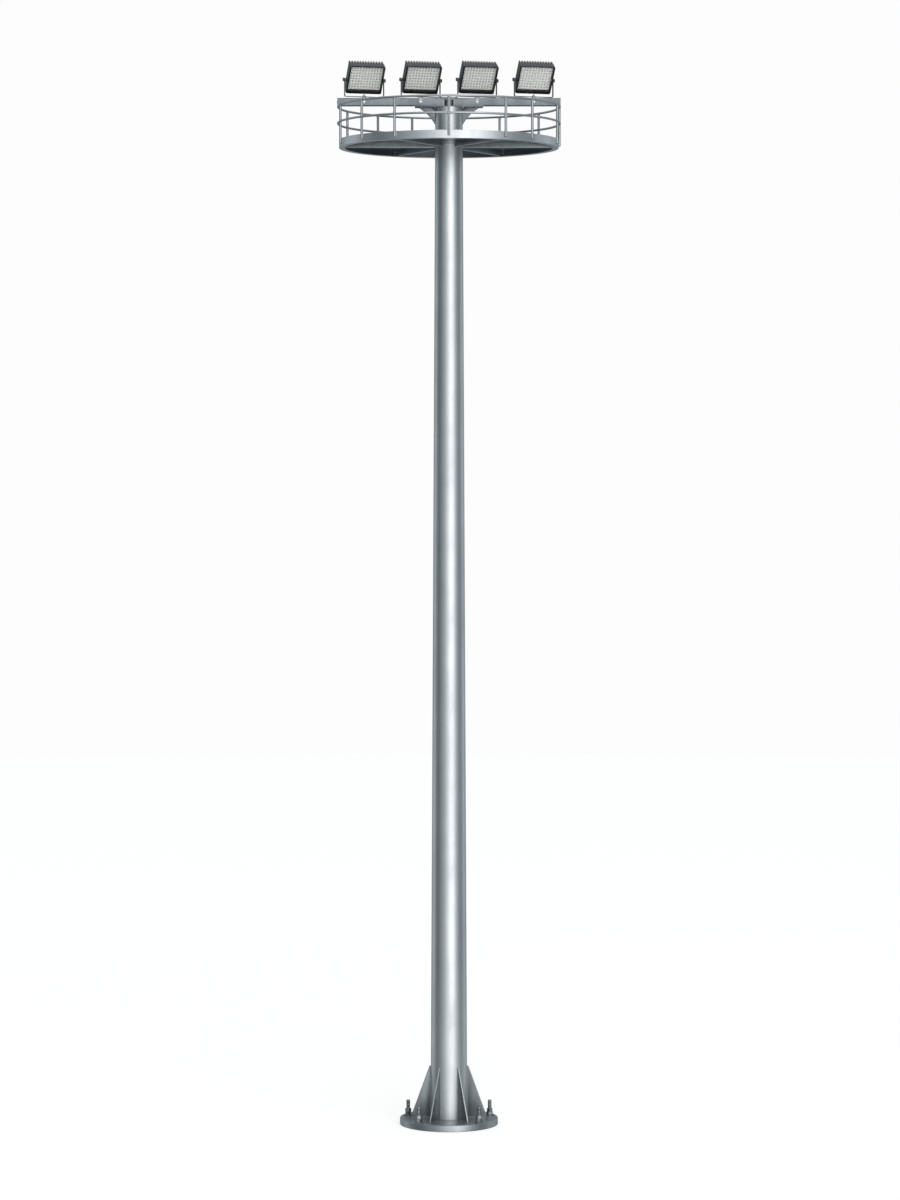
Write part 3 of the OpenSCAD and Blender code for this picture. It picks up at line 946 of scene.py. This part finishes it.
# %% Weld lines at the platform and head
head_lo, head_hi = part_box("head_plate")
haunch_lo, haunch_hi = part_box("haunches")
arm_lo, arm_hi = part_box("deck_arms")
ARM_HALF = 0.020
haunch_half = haunch_hi.y
under_head = head_lo.z - 0.001
ring_lines = [arc(shaft_radius(z) + 0.002, z - drop, 0, 2 * math.pi, 64)
              for z, drop in ((collar_lo.z, 0.001), (head_lo.z, 0.002))]


def beside_haunch(z):
    """How far out the shaft's side is where a haunch's face meets it."""
    return math.sqrt(shaft_radius(z) ** 2 - haunch_half ** 2) + 0.001


for side in (-haunch_half, haunch_half):
    for end in (-1, 1):
        ring_lines.append([Vector((end * (top_r + 0.01), side, under_head)),
                           Vector((end * haunch_hi.x * 0.985, side, under_head))])
        ring_lines.append([Vector((end * beside_haunch(z), side, z))
                           for z in (haunch_lo.z + 0.004, head_lo.z)])
arm_top = arm_hi.z - 0.002
rim_reach = math.sqrt(rim_in ** 2 - ARM_HALF ** 2)
for a in gusset_angles:
    for side in (-ARM_HALF, ARM_HALF):
        ring_lines.append([out_from(a, collar_r, side, z) for z in (collar_lo.z, arm_top)])
        ring_lines.append([out_from(a, shaft_radius(z), side, z) for z in (arm_lo.z, collar_lo.z)])
        ring_lines.append([out_from(a, rim_reach, side, z) for z in (arm_lo.z, arm_top)])
welds(ring_lines, 0.006, "head_and_collar_welds", 0.009)

# %% [markdown]
# ## Guardrail
# Fourteen tube posts stand outside the rim, closed at the foot by a domed cap, and carry two
# rails bent to a circle. The rails follow a path, so a tree sweeps a round section along them.

# %% Tree: bent tube along a line
TUBE_SIDES = 24
tube_tree, given = new_tree("bent_tube", [("Radius", "Float", 0.021),
                                          ("Sides", "Int", TUBE_SIDES)])
line = node(tube_tree, "GeometryNodeMeshToCurve", {"Mesh": given["Geometry"]})
section = node(tube_tree, "GeometryNodeCurvePrimitiveCircle",
               {"Resolution": given["Sides"], "Radius": given["Radius"]})
swept = node(tube_tree, "GeometryNodeCurveToMesh", {
    "Fill Caps": True, "Curve": line.outputs[0], "Profile Curve": section.outputs[0]})
end_tree(tube_tree, swept.outputs[0], given)

# %% Rails
for part in ("top_rail", "mid_rail"):
    lo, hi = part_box(part)
    tube_r = (hi.z - lo.z) / 2
    rail_points = arc(hi.x - tube_r, middle((lo, hi)).z, 0, 2 * math.pi, 240)
    rail = grow(tube_tree, seed_lines([rail_points]),
                {"Radius": tube_r, "Sides": TUBE_SIDES, "Material": galvanised_tube},
                part + "_tube", "mast", smooth=60.0)
    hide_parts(part)
rail_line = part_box("top_rail")[1].x - tube_r
mid_z, top_z = middle(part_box("mid_rail")).z, middle(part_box("top_rail")).z

# %% Posts
POST_R, POST_DOME = 0.024, 0.012
post_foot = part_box("guardrail_posts")[0].z
post_angles = [math.atan2(p.x, -p.y) for p in posts]
dome = [(POST_R * math.cos(t), POST_DOME - POST_DOME * math.sin(t))
        for t in (math.radians(a) for a in (80, 60, 40, 20))]
post_shape = lathe(dome + [(POST_R, 0.014), (POST_R, top_z - 0.010 - post_foot)], 32, "post")
post_piece = fixings(post_shape, [(out_from(a, rail_line, 0, post_foot), UP, 0)
                                  for a in post_angles],
                     "guardrail_post_tubes", "mast", galvanised_tube)
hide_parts("guardrail_posts")


def loop(centre, across, up, r, steps=20):
    """A closed circle of points."""
    turns = [2 * math.pi * i / steps for i in range(steps)]
    points = [centre + across * (r * math.cos(t)) + up * (r * math.sin(t)) for t in turns]
    return points + [centre + across * r]


FOOT_SIDE = 0.0165                       # a post's foot is welded this far either side
rail_lines = []
for a in post_angles:
    outward, along = out_from(a, 1.0), Vector((math.cos(a), math.sin(a), 0))
    centre = out_from(a, rail_line)
    for side in (-1, 1):
        turn_by = math.asin(POST_R / rail_line) * side
        rail_lines.append(loop(out_from(a + turn_by, rail_line, 0, mid_z), outward, Vector(UP),
                               tube_r + 0.001))
    rail_lines.append(loop(raised(centre, top_z - tube_r + 0.004), outward, along, POST_R))
    for side in (-FOOT_SIDE, FOOT_SIDE):
        foot = centre - outward * math.sqrt(POST_R ** 2 - FOOT_SIDE ** 2) + along * side
        rail_lines.append([raised(foot, z) for z in (post_foot + 0.015, rim_hi.z)])
welds(rail_lines, 0.0035, "guardrail_welds", 0.006)

# %% [markdown]
# ## Crossbeam
# Each half of the beam is a square hollow section. Rolled sections have rounded corners, so the
# outline is a rounded square, carried along X as an outer and an inner skin and closed by a
# plate at the far end. The shoe under the inner end is bolted to the head plate.


# %% Beam section
def rounded_outline(half_a, half_b, r, steps=5):
    """Points of a rounded rectangle, counter-clockwise from the lower right corner."""
    points = []
    for ca, cb, start in ((half_a - r, -half_b + r, -90), (half_a - r, half_b - r, 0),
                          (-half_a + r, half_b - r, 90), (-half_a + r, -half_b + r, 180)):
        for i in range(steps + 1):
            t = math.radians(start + 90 * i / steps)
            points.append((ca + r * math.cos(t), cb + r * math.sin(t)))
    return points


def skin(loops, name, closed=False):
    """Mesh over loops of points that all have the same count."""
    count, rows = len(loops[0]), len(loops)
    faces = strips(rows if closed else rows - 1, count, rows)
    mesh = bpy.data.meshes.new(name)
    mesh.from_pydata([tuple(p) for points in loops for p in points], [],
                     faces if closed else faces + caps(rows, count))
    shape = bmesh.new()
    shape.from_mesh(mesh)
    bmesh.ops.recalc_face_normals(shape, faces=shape.faces)
    shape.to_mesh(mesh)
    shape.free()
    return mesh


BEAM_WALL, BEAM_CORNER, BEAM_EDGE = 0.008, 0.014, 0.002
SHOE_T, DRAIN_HALF = 0.008, 0.020        # the shoe's thickness, half the opening in the end plate
beam_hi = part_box("crossbeam")[1]
beam_in = max(box[0].x for box in islands("crossbeam"))
beam_z0 = head_hi.z + SHOE_T
beam_half = (beam_hi.z - beam_z0) / 2
beam_mid = beam_z0 + beam_half


def beam_loop(x, half, corner):
    return [(x, a, beam_mid + b) for a, b in rounded_outline(half, half, corner)]


def beam_half_mesh(side):
    inner, outer, plate_in = (side * x for x in (beam_in, beam_hi.x, beam_hi.x - BEAM_WALL))
    hollow, hollow_corner = beam_half - BEAM_WALL, BEAM_CORNER - BEAM_WALL
    return skin([beam_loop(inner, beam_half, BEAM_CORNER),
                 beam_loop(outer - side * BEAM_EDGE, beam_half, BEAM_CORNER),
                 beam_loop(outer, beam_half - BEAM_EDGE, BEAM_CORNER - BEAM_EDGE),
                 beam_loop(outer, DRAIN_HALF, 0.004), beam_loop(plate_in, DRAIN_HALF, 0.004),
                 beam_loop(plate_in, hollow, hollow_corner),
                 beam_loop(inner, hollow, hollow_corner)], "beam", closed=True)


def soft_box(lo, hi, edge, name="box"):
    """A plate with its edges rounded."""
    shape = bmesh.new()
    bmesh.ops.create_cube(shape, size=1.0)
    size, centre = Vector(hi) - Vector(lo), (Vector(hi) + Vector(lo)) / 2
    for v in shape.verts:
        v.co = Vector([v.co[i] * size[i] + centre[i] for i in range(3)])
    bmesh.ops.bevel(shape, geom=list(shape.edges), offset=edge, offset_type="OFFSET", segments=2,
                    profile=0.5, affect="EDGES", clamp_overlap=True)
    mesh = bpy.data.meshes.new(name)
    shape.to_mesh(mesh)
    shape.free()
    return mesh


shoes = [soft_box((min(s * beam_in, s * head_hi.x), head_lo.y, head_hi.z),
                  (max(s * beam_in, s * head_hi.x), head_hi.y, beam_z0), BEAM_EDGE)
         for s in (-1, 1)]
PLUG_HALF = 0.021
end_plugs = [soft_box((s * beam_hi.x - 0.007, -PLUG_HALF, beam_mid - PLUG_HALF),
                      (s * beam_hi.x + 0.0005, PLUG_HALF, beam_mid + PLUG_HALF), 0.001)
             for s in (-1, 1)]
beam = finish_piece(joined([beam_half_mesh(s) for s in (-1, 1)] + shoes + end_plugs,
                           "crossbeam_sections"),
                    "crossbeam_sections", "mast", galvanised_plate, smooth=35.0)
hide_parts("crossbeam")
print("beam", round(beam_hi.x * 2, 3), "m long, corner", BEAM_CORNER)

# %% Splice plate, hub post
splice_lo, splice_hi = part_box("splice_plate")
splice_cover = soft_box((splice_lo.x, splice_lo.y, beam_hi.z), splice_hi, 0.002)
splice_key = soft_box((-beam_in + 0.002, -beam_half, splice_lo.z),
                      (beam_in - 0.002, beam_half, beam_hi.z + 0.004), 0.002)
splice = finish_piece(joined([splice_cover, splice_key], "splice"), "splice_cover", "mast",
                      galvanised_plate, smooth=35.0)
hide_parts("splice_plate")

HUB_EDGE = 0.004
hub_lo, hub_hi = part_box("hub_post")
hub = finish_piece(
    lathe([(hub_hi.x - HUB_EDGE, hub_lo.z), (hub_hi.x, hub_lo.z + HUB_EDGE),
           (hub_hi.x, hub_hi.z - HUB_EDGE), (hub_hi.x - HUB_EDGE, hub_hi.z)], 64, "hub"),
    "hub_post_tube", "mast", galvanised_plate)
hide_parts("hub_post")

# %% Welds on the beam
shoe_weld_z = beam_z0 + 0.003
beam_lines = [[Vector((s * x, side * (beam_half + 0.001), shoe_weld_z))
               for x in (beam_in, head_hi.x)] for s in (-1, 1) for side in (-1, 1)]
beam_lines.append(arc(hub_hi.x + 0.001, head_hi.z + 0.002, 0, 2 * math.pi, 48))
welds(beam_lines, 0.006, "beam_welds", 0.009)

# %% [markdown]
# Bolts hold the head together: through the shoes into the head plate, and through the splice
# plate into the beam. A bolt here is a head with turned-off corners on a washer.


# %% Bolts of the head
def bolt_mesh(across, height, washer_d, washer_t, tail=0.0, tail_r=0.008):
    flat, corner, shoulder = hexagon(across)
    top, washer_r = washer_t + height, washer_d / 2
    rings = [(washer_r - 0.001, 0), (washer_r, 0.001), (washer_r, washer_t - 0.001),
             (washer_r - 0.001, washer_t), (flat, washer_t),
             (corner, lambda a: washer_t + shoulder(a)), (corner, lambda a: top - shoulder(a)),
             (flat, top)]
    if tail:
        rings += [(tail_r, top), (tail_r, top + tail - 0.001), (tail_r - 0.001, top + tail)]
    return lathe(rings, 48, "bolt")


BOLT_X, BOLT_Y = (-0.512, -0.264, 0.264, 0.512), (-0.112, 0.112)
head_spots = [(x, y) for x in BOLT_X for y in BOLT_Y]
fixings(bolt_mesh(0.036, 0.015, 0.048, 0.004),
        [(Vector((x, y, beam_z0)), UP, x * 7) for x, y in head_spots],
        "head_bolts", "mast", dull_fixing)
fixings(bolt_mesh(0.036, 0.019, 0.048, 0.004, tail=0.012, tail_r=0.012),
        [(Vector((x, y, head_lo.z)), DOWN, x * 5) for x, y in head_spots],
        "head_bolt_nuts", "mast", dull_fixing)
fixings(bolt_mesh(0.024, 0.010, 0.034, 0.003),
        [(Vector((x, y, splice_hi.z)), UP, x * 9 + y) for x in (-0.140, 0.140)
         for y in (-0.045, 0.045)], "splice_bolts", "mast", zinc_plate_and_painted_light)

# %% [markdown]
# ## Bent straps
# Clamps and yokes are flat bar bent in a press: the thickness stays the same round each bend and
# the ends are cut round. `strap_mesh` carries a small rounded section along a path of points and
# narrows it at the ends into half circles.


# %% Bent straps
def bend_path(corners, radius, steps=6):
    """Path through 2D corner points with each inner corner rounded."""
    points = [Vector(corners[0])]
    for before, here, after in zip(corners, corners[1:], corners[2:]):
        a, b, c = Vector(before), Vector(here), Vector(after)
        u, v = (a - b).normalized(), (c - b).normalized()
        half = math.acos(max(-1, min(1, u.dot(v)))) / 2
        reach = radius / math.tan(half)
        centre = b + (u + v).normalized() * (radius / math.sin(half))
        start, end = b + u * reach - centre, b + v * reach - centre
        sweep = math.atan2(start.x * end.y - start.y * end.x, start.dot(end))
        for i in range(steps + 1):
            t = sweep * i / steps
            points.append(centre + Vector((start.x * math.cos(t) - start.y * math.sin(t),
                                           start.x * math.sin(t) + start.y * math.cos(t))))
    points.append(Vector(corners[-1]))
    return points


END_ANGLES = (10, 20, 32, 45, 58, 72, 90)


def strap_mesh(path, half_width, thickness, chamfer, place, name):
    """Strip along a 2D path; place(u, v, w) gives the 3D point, w running across the strip."""
    lengths = [0.0]
    for a, b in zip(path, path[1:]):
        lengths.append(lengths[-1] + (b - a).length)
    total = lengths[-1]
    round_end = [half_width * (1 - math.cos(math.radians(t))) for t in END_ANGLES]
    stations = sorted(set(round_end + [total - s for s in round_end] +
                          [s for s in lengths if half_width < s < total - half_width]))
    loops = []
    for s in stations:
        k = max(i for i in range(len(path) - 1) if lengths[i] <= s + 1e-9)
        t = (s - lengths[k]) / max(lengths[k + 1] - lengths[k], 1e-9)
        point = path[k].lerp(path[k + 1], t)
        along = (path[k + 1] - path[k]).normalized()
        if t < 1e-6 and k > 0:
            along = (along + (path[k] - path[k - 1]).normalized()).normalized()
        normal = Vector((-along.y, along.x))
        near_end = min(s, total - s)
        h = half_width if near_end >= half_width else \
            math.sqrt(max(half_width ** 2 - (half_width - near_end) ** 2, 0))
        c = min(chamfer, h * 0.4)
        q = thickness / 2
        section = [(q - c, -h), (q, -h + c), (q, h - c), (q - c, h),
                   (-q + c, h), (-q, h - c), (-q, -h + c), (-q + c, -h)]
        loops.append([place(*(point + normal * n), w) for n, w in section])
    return skin(loops, name)


print("strap helper ready")

# %% [markdown]
# ## Clamps
# Each floodlight stands on a saddle over the beam. The strap's two legs are drawn together under
# the beam by bolts, and a threaded stud through its top carries the yoke, held by a nut.

# %% Beam clamps
tilt_joints = [joint for joint in frame["joints"] if joint["name"].endswith("_tilt")]
lamp_places = [Vector(joint["pos_m"]) for joint in tilt_joints]
lamp_axes = [Vector(joint["axis"]) for joint in tilt_joints]
CLAMP_T, CLAMP_HALF, CLAMP_LEG, BOSS_H = 0.008, 0.032, 0.110, 0.012
leg_y = beam_half + CLAMP_T / 2
strap_path = bend_path([(-leg_y, -CLAMP_LEG), (-leg_y, CLAMP_T / 2), (leg_y, CLAMP_T / 2),
                        (leg_y, -CLAMP_LEG)], 0.012)
straps = [strap_mesh(strap_path, CLAMP_HALF, CLAMP_T, 0.0015,
                     lambda u, v, w, x=p.x: (x + w, u, beam_hi.z + v), "strap")
          for p in lamp_places]
strap_top = beam_hi.z + CLAMP_T
boss_top = strap_top + BOSS_H
boss = lathe([(0.044, strap_top - 0.001), (0.041, strap_top + 0.003), (0.040, boss_top - 0.002),
              (0.038, boss_top)], 48, "boss")
on_axis = [Vector((p.x, 0, 0)) for p in lamp_places]
clamps = finish_piece(
    joined([joined(straps, "straps")] + [(boss, Matrix.Translation(p)) for p in on_axis],
           "clamps"), "clamp_straps", "mast", foot_plate)
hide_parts("beam_clamps")

bolt_z = beam_hi.z - CLAMP_LEG + CLAMP_HALF
leg_bolts = [(Vector((p.x, side * (leg_y + CLAMP_T / 2), bolt_z)), (0, side, 0), p.x)
             for p in lamp_places for side in (-1, 1)]
fixings(bolt_mesh(0.030, 0.013, 0.042, 0.004, tail=0.014, tail_r=0.010), leg_bolts,
        "clamp_bolts", "mast", zinc_plate_and_painted_light)

# %% Swivel studs and nuts
YOKE_T, YOKE_HALF, TURN_GAP = 0.010, 0.030, 0.0003
SWIVEL_R, WASHER_R, WASHER_T = 0.0147, 0.033, 0.0053
foot_top = boss_top + TURN_GAP + YOKE_T
swivel_stud = lathe([(SWIVEL_R, boss_top - 0.002), (SWIVEL_R, foot_top + 0.0362),
                     (0.011, foot_top + 0.0397)], 40, "stud")
swivel_washer = lathe([(WASHER_R - 0.001, foot_top + TURN_GAP), (WASHER_R, foot_top + 0.001),
                       (WASHER_R, foot_top + 0.0045), (WASHER_R - 0.001, foot_top + WASHER_T)],
                      48, "washer")
swivel_nut = (nut_mesh(0.046, 0.024, 0.0145), Matrix.Translation((0, 0, foot_top + WASHER_T)))
fixings(joined([swivel_stud, swivel_washer, swivel_nut], "swivel"), [(p, UP, 0) for p in on_axis],
        "swivel_nuts", "mast", zinc_plate_and_painted_light)
threads([raised(p, foot_top + 0.0290) for p in on_axis], 0.0138, 0.0035, 0.0070,
        "swivel_threads", zinc_plate_and_painted_light)

# %% [markdown]
# ## Yokes
# A yoke is one flat bar bent twice into a U: its foot turns on the swivel stud and its two legs
# reach up to the tilt pivots beside the housing.

# %% Yokes
LEG_X = 0.380
foot_mid = foot_top - YOKE_T / 2
pivot_z = lamp_places[0].z
yoke_path = bend_path([(-LEG_X, YOKE_HALF), (-LEG_X, foot_mid - pivot_z),
                       (LEG_X, foot_mid - pivot_z), (LEG_X, YOKE_HALF)], 0.018)


def pan_matrix(i):
    axis = lamp_axes[i]
    return Matrix.Translation(lamp_places[i]) @ Matrix.Rotation(
        math.atan2(axis.y, axis.x), 4, "Z")


swivel_bit = lathe([(0.0152, -0.2), (0.0152, 0.2)], 40, "bit")
upright = Vector(UP).to_track_quat("Z", "Y").to_matrix().to_4x4()
swivel_bit.transform(Matrix.Translation((0, 0, foot_mid - pivot_z)) @ upright)
yoke_shape = cut_out(strap_mesh(yoke_path, YOKE_HALF, YOKE_T, 0.0018,
                                lambda u, v, w: (u, w, v), "yoke"), swivel_bit)
for i in range(4):
    yoke = finish_piece(yoke_shape.copy(), f"lamp{i + 1}_bent_yoke", f"yoke{i + 1}",
                        yoke_grey, place=pan_matrix(i), smooth=35.0)
    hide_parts(f"lamp{i + 1}_yoke")
print("yokes", len(yoke_shape.polygons), "faces each")

# %% [markdown]
# ## Floodlights
# All four lamps are alike, so each piece is made once about its tilt pivot (x across, y back,
# z up) and placed by the lamp's own pan and tilt. The housing is a die-cast tray: rounded block,
# thin walls, soft edges. A helper insets a rounded rectangle and moves it back, and a list of
# such loops is a casting.

# %% Lamp loops
REST_TILT = math.radians(35)
LAMP_W, LAMP_Z0, LAMP_Z1, CORNER = 0.690, -0.241, 0.343, 0.026
FACE_Y, FRAME_T, BODY_Y, FIN_Y, WALL = -0.100, 0.015, 0.050, 0.125, 0.012
FRAME_SIDE, FRAME_LOW, FRAME_TOP = 0.028, 0.068, 0.022
front = FACE_Y + FRAME_T


def lamp_matrix(i):
    return pan_matrix(i) @ Matrix.Rotation(REST_TILT, 4, "X")


def lamp_loop(inset, y):
    half_w, half_h = LAMP_W / 2 - inset, (LAMP_Z1 - LAMP_Z0) / 2 - inset
    middle_z = (LAMP_Z0 + LAMP_Z1) / 2
    return [(a, y, middle_z + b)
            for a, b in rounded_outline(half_w, half_h, max(CORNER - inset, 0.004), 7)]


def lamp_piece(mesh, i, label, material, smooth=35.0):
    return finish_piece(mesh.copy(), f"lamp{i + 1}_{label}", f"lamp{i + 1}", material,
                        place=lamp_matrix(i), smooth=smooth)


# %% Housing
BACK_INSET = 0.20                        # the flat back starts this far in from the sides


def housing_mesh():
    """Outer and inner skins joined at the front rim and closed at the back."""
    outline = [(BACK_INSET, BODY_Y - WALL), (WALL, BODY_Y - WALL), (WALL, front), (0.0, front),
               (0.0, BODY_Y - 0.012), (0.0016, BODY_Y - 0.006), (0.0055, BODY_Y - 0.0018),
               (0.012, BODY_Y), (BACK_INSET, BODY_Y)]
    return skin([lamp_loop(inset, y) for inset, y in outline], "housing")


def arc_points(y, z, r, angles):
    """Points of an arc in the plane of a fin."""
    return [(y + r * math.cos(t), z + r * math.sin(t)) for t in map(math.radians, angles)]


FIN_ROOT, FIN_THIN = 0.0120, 0.0030      # half its thickness at the root, and what the tip lacks


def fin_mesh():
    """A cast fin: thicker at its root, with its outer corners rounded."""
    z0, z1 = LAMP_Z0 + 0.012, LAMP_Z1
    outline = [(BODY_Y - 0.004, z0 + 0.002), (BODY_Y + 0.03, z0 + 0.004),
               (FIN_Y - 0.020, z0 + 0.022)]
    outline += arc_points(FIN_Y - 0.012, z0 + 0.042, 0.012, (-50, 0))
    outline += arc_points(FIN_Y - 0.016, z1 - 0.016, 0.016, (0, 30, 60, 90))
    outline += [(BODY_Y - 0.004, z1)]
    return skin([[(side * (FIN_ROOT - FIN_THIN * (y - BODY_Y) / (FIN_Y - BODY_Y)), y, z)
                  for y, z in outline] for side in (-1, 1)], "fin")


# %% [markdown]
# The fins repeat, so a tree puts one cast fin on each of thirteen points along the back.

# %% Tree: cooling fins
FINS, FIN_SPAN = 13, LAMP_W - 0.06
fin_tree, given = new_tree("cooling_fins", [
    ("Fin", "Object", None), ("Count", "Int", FINS), ("Span", "Float", 0.60)])
fin_ends = [node(fin_tree, "ShaderNodeCombineXYZ",
                 {0: math_step(fin_tree, "MULTIPLY", given["Span"], share)}).outputs[0]
            for share in (-0.5, 0.5)]
fin_row = node(fin_tree, "GeometryNodeMeshLine", {
    "Count": given["Count"], "Start Location": fin_ends[0], "Offset": fin_ends[1]},
    mode="END_POINTS")
model = node(fin_tree, "GeometryNodeObjectInfo", {0: given["Fin"]})
fins = node(fin_tree, "GeometryNodeInstanceOnPoints",
            {"Points": fin_row.outputs[0], "Instance": model.outputs["Geometry"]})
end_tree(fin_tree, fins.outputs[0], given)

fin_model = shape_object(fin_mesh(), "fin_shape")
fin_block = grown_mesh(fin_tree, bpy.data.meshes.new("host"), {
    "Fin": fin_model, "Count": FINS, "Span": FIN_SPAN, "Material": lamp_grey})
bpy.data.objects.remove(fin_model)
body_shape = joined([housing_mesh(), fin_block], "lamp_body")
for i in range(4):
    body = lamp_piece(body_shape, i, "cast_housing", lamp_grey)
    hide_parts(f"lamp{i + 1}_housing")
print("lamp body", len(body_shape.polygons), "faces")

# %% [markdown]
# The front frame is a rounded section carried round the opening, deeper below it than at the
# sides. Its sleeve reaches in to the glass, which makes the deep dark line inside the frame.
# Eight small screws hold it.

# %% Front frame
SLEEVE_Y, SLEEVE_T = -0.045, 0.0095
SCREW_X, SCREW_IN = (-0.325, -0.115, 0.115, 0.325), (0.020, 0.011)


def opening_loop(more, y):
    """Outline of the frame's opening, made smaller all round by `more`, at one depth."""
    half_w = LAMP_W / 2 - FRAME_SIDE - more
    z0, z1 = LAMP_Z0 + FRAME_LOW + more, LAMP_Z1 - FRAME_TOP - more
    return [(a, y, (z0 + z1) / 2 + b)
            for a, b in rounded_outline(half_w, (z1 - z0) / 2, 0.006, 7)]


outer_side = [(0.0005, front), (0.0, FACE_Y + 0.004), (0.0012, FACE_Y + 0.0012), (0.004, FACE_Y)]
inner_side = [(-0.0035, FACE_Y), (-0.0008, FACE_Y + 0.0008), (0.0, FACE_Y + 0.0035),
              (0.0, SLEEVE_Y), (-SLEEVE_T, SLEEVE_Y), (-SLEEVE_T, front)]
frame_shape = skin([lamp_loop(*spot) for spot in outer_side] +
                   [opening_loop(*spot) for spot in inner_side], "front_frame", closed=True)
screw = lathe([(0.0052, 0.0), (0.0050, 0.0016), (0.0038, 0.0030), (0.0022, 0.0034),
               (0.0020, 0.0016)], 18, "screw")
screw_spots = [Vector((x, FACE_Y + 0.0002, z)) for x in SCREW_X
               for z in (LAMP_Z0 + SCREW_IN[0], LAMP_Z1 - SCREW_IN[1])]
for i in range(4):
    bezel = lamp_piece(frame_shape, i, "front_frame", frame_black)
    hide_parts(f"lamp{i + 1}_bezel")
    place = lamp_matrix(i)
    fixings(screw, [(place @ spot, place.to_3x3() @ Vector((0, -1, 0)), 0.0)
                    for spot in screw_spots],
            f"lamp{i + 1}_frame_screws", f"lamp{i + 1}", zinc_plate_and_painted_light)
print("front frame", len(frame_shape.polygons), "faces and", len(screw_spots), "screws")

# %% [markdown]
# The tilt pivots: a spacer boss on the housing, a pin through the yoke's leg and a turned knob
# outside it with a hollow face and a socket bolt at its centre.

# %% Pivots
side_x = LAMP_W / 2
KNOB_OUT = 0.0403                        # from the housing's side to the knob's inner face
boss_rings = [(0.028, -0.002), (0.0255, 0.003), (0.025, 0.006), (0.025, 0.028),
              (0.0235, 0.0297), (0.010, 0.0297)]
knob_rings = [(0.010, 0.0), (0.032, 0.0), (0.035, 0.003), (0.035, 0.022), (0.0335, 0.0265),
              (0.031, 0.028), (0.0255, 0.028), (0.0240, 0.0265), (0.0235, 0.0235),
              (0.0145, 0.0235), (0.0140, 0.0275), (0.0130, 0.0282), (0.0070, 0.0282),
              (0.0068, 0.0225)]
turned = lathe([(r, side_x + x) for r, x in boss_rings] +
               [(r, side_x + KNOB_OUT + x) for r, x in knob_rings], 48, "pivot")
turned.transform(Matrix.Rotation(math.radians(90), 4, "Y"))
pivot_pair = joined([turned, (turned, Matrix.Rotation(math.pi, 4, "Z"))], "pivots")
for i in range(4):
    pivot = lamp_piece(pivot_pair, i, "tilt_knobs", knob_black)
    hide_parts(f"lamp{i + 1}_pivots")
print("pivots", len(pivot_pair.polygons), "faces")

# %% [markdown]
# ## LEDs
# Rows of LEDs sit on the white board behind the glass. A tree lays out the grid from two counts
# and one pitch, with a clear dome and a phosphor chip at each point. There are hundreds, so each
# dome has only a few dozen faces.

# %% Tree: LED grid
LED_COLUMNS, LED_ROWS, LED_PITCH = 11, 8, 0.056
led_tree, given = new_tree("led_grid", [
    ("Shape", "Object", None), ("Columns", "Int", LED_COLUMNS), ("Rows", "Int", LED_ROWS),
    ("Pitch", "Float", LED_PITCH)])
led_sizes = [math_step(led_tree, "MULTIPLY", math_step(led_tree, "SUBTRACT", given[count], 1.0),
                       given["Pitch"]) for count in ("Columns", "Rows")]
led_points = node(led_tree, "GeometryNodeMeshGrid", {
    "Size X": led_sizes[0], "Size Y": led_sizes[1],
    "Vertices X": given["Columns"], "Vertices Y": given["Rows"]})
model = node(led_tree, "GeometryNodeObjectInfo", {0: given["Shape"]})
leds = node(led_tree, "GeometryNodeInstanceOnPoints",
            {"Points": led_points.outputs[0], "Instance": model.outputs["Geometry"]})
end_tree(led_tree, leds.outputs[0], given)

# %% LEDs on their board
BOARD_Y = -0.028
board_mid = (LAMP_Z0 + FRAME_LOW + LAMP_Z1 - FRAME_TOP) / 2
to_board = Matrix.Translation((0, BOARD_Y, board_mid)) @ Matrix.Rotation(math.radians(90), 4, "X")
dome_shape = lathe([(0.0200, -0.0005), (0.0200, 0.002), (0.0172, 0.0072), (0.0100, 0.0101),
                    (0.0024, 0.0108)], 12, "dome")
chip_shape = lathe([(0.0130, -0.0005), (0.0130, 0.0012)], 4, "chip")
for label, shape, material in (("led_domes", dome_shape, dome_clear),
                               ("led_chips", chip_shape, chip_yellow)):
    model = shape_object(shape, label)
    grid = grown_mesh(led_tree, bpy.data.meshes.new("host"), {
        "Shape": model, "Columns": LED_COLUMNS, "Rows": LED_ROWS, "Pitch": LED_PITCH,
        "Material": material})
    bpy.data.objects.remove(model)
    grid.transform(to_board)
    for i in range(4):
        lamp_piece(grid, i, label, material, smooth=50.0)
    print(label, len(grid.polygons), "faces a lamp")
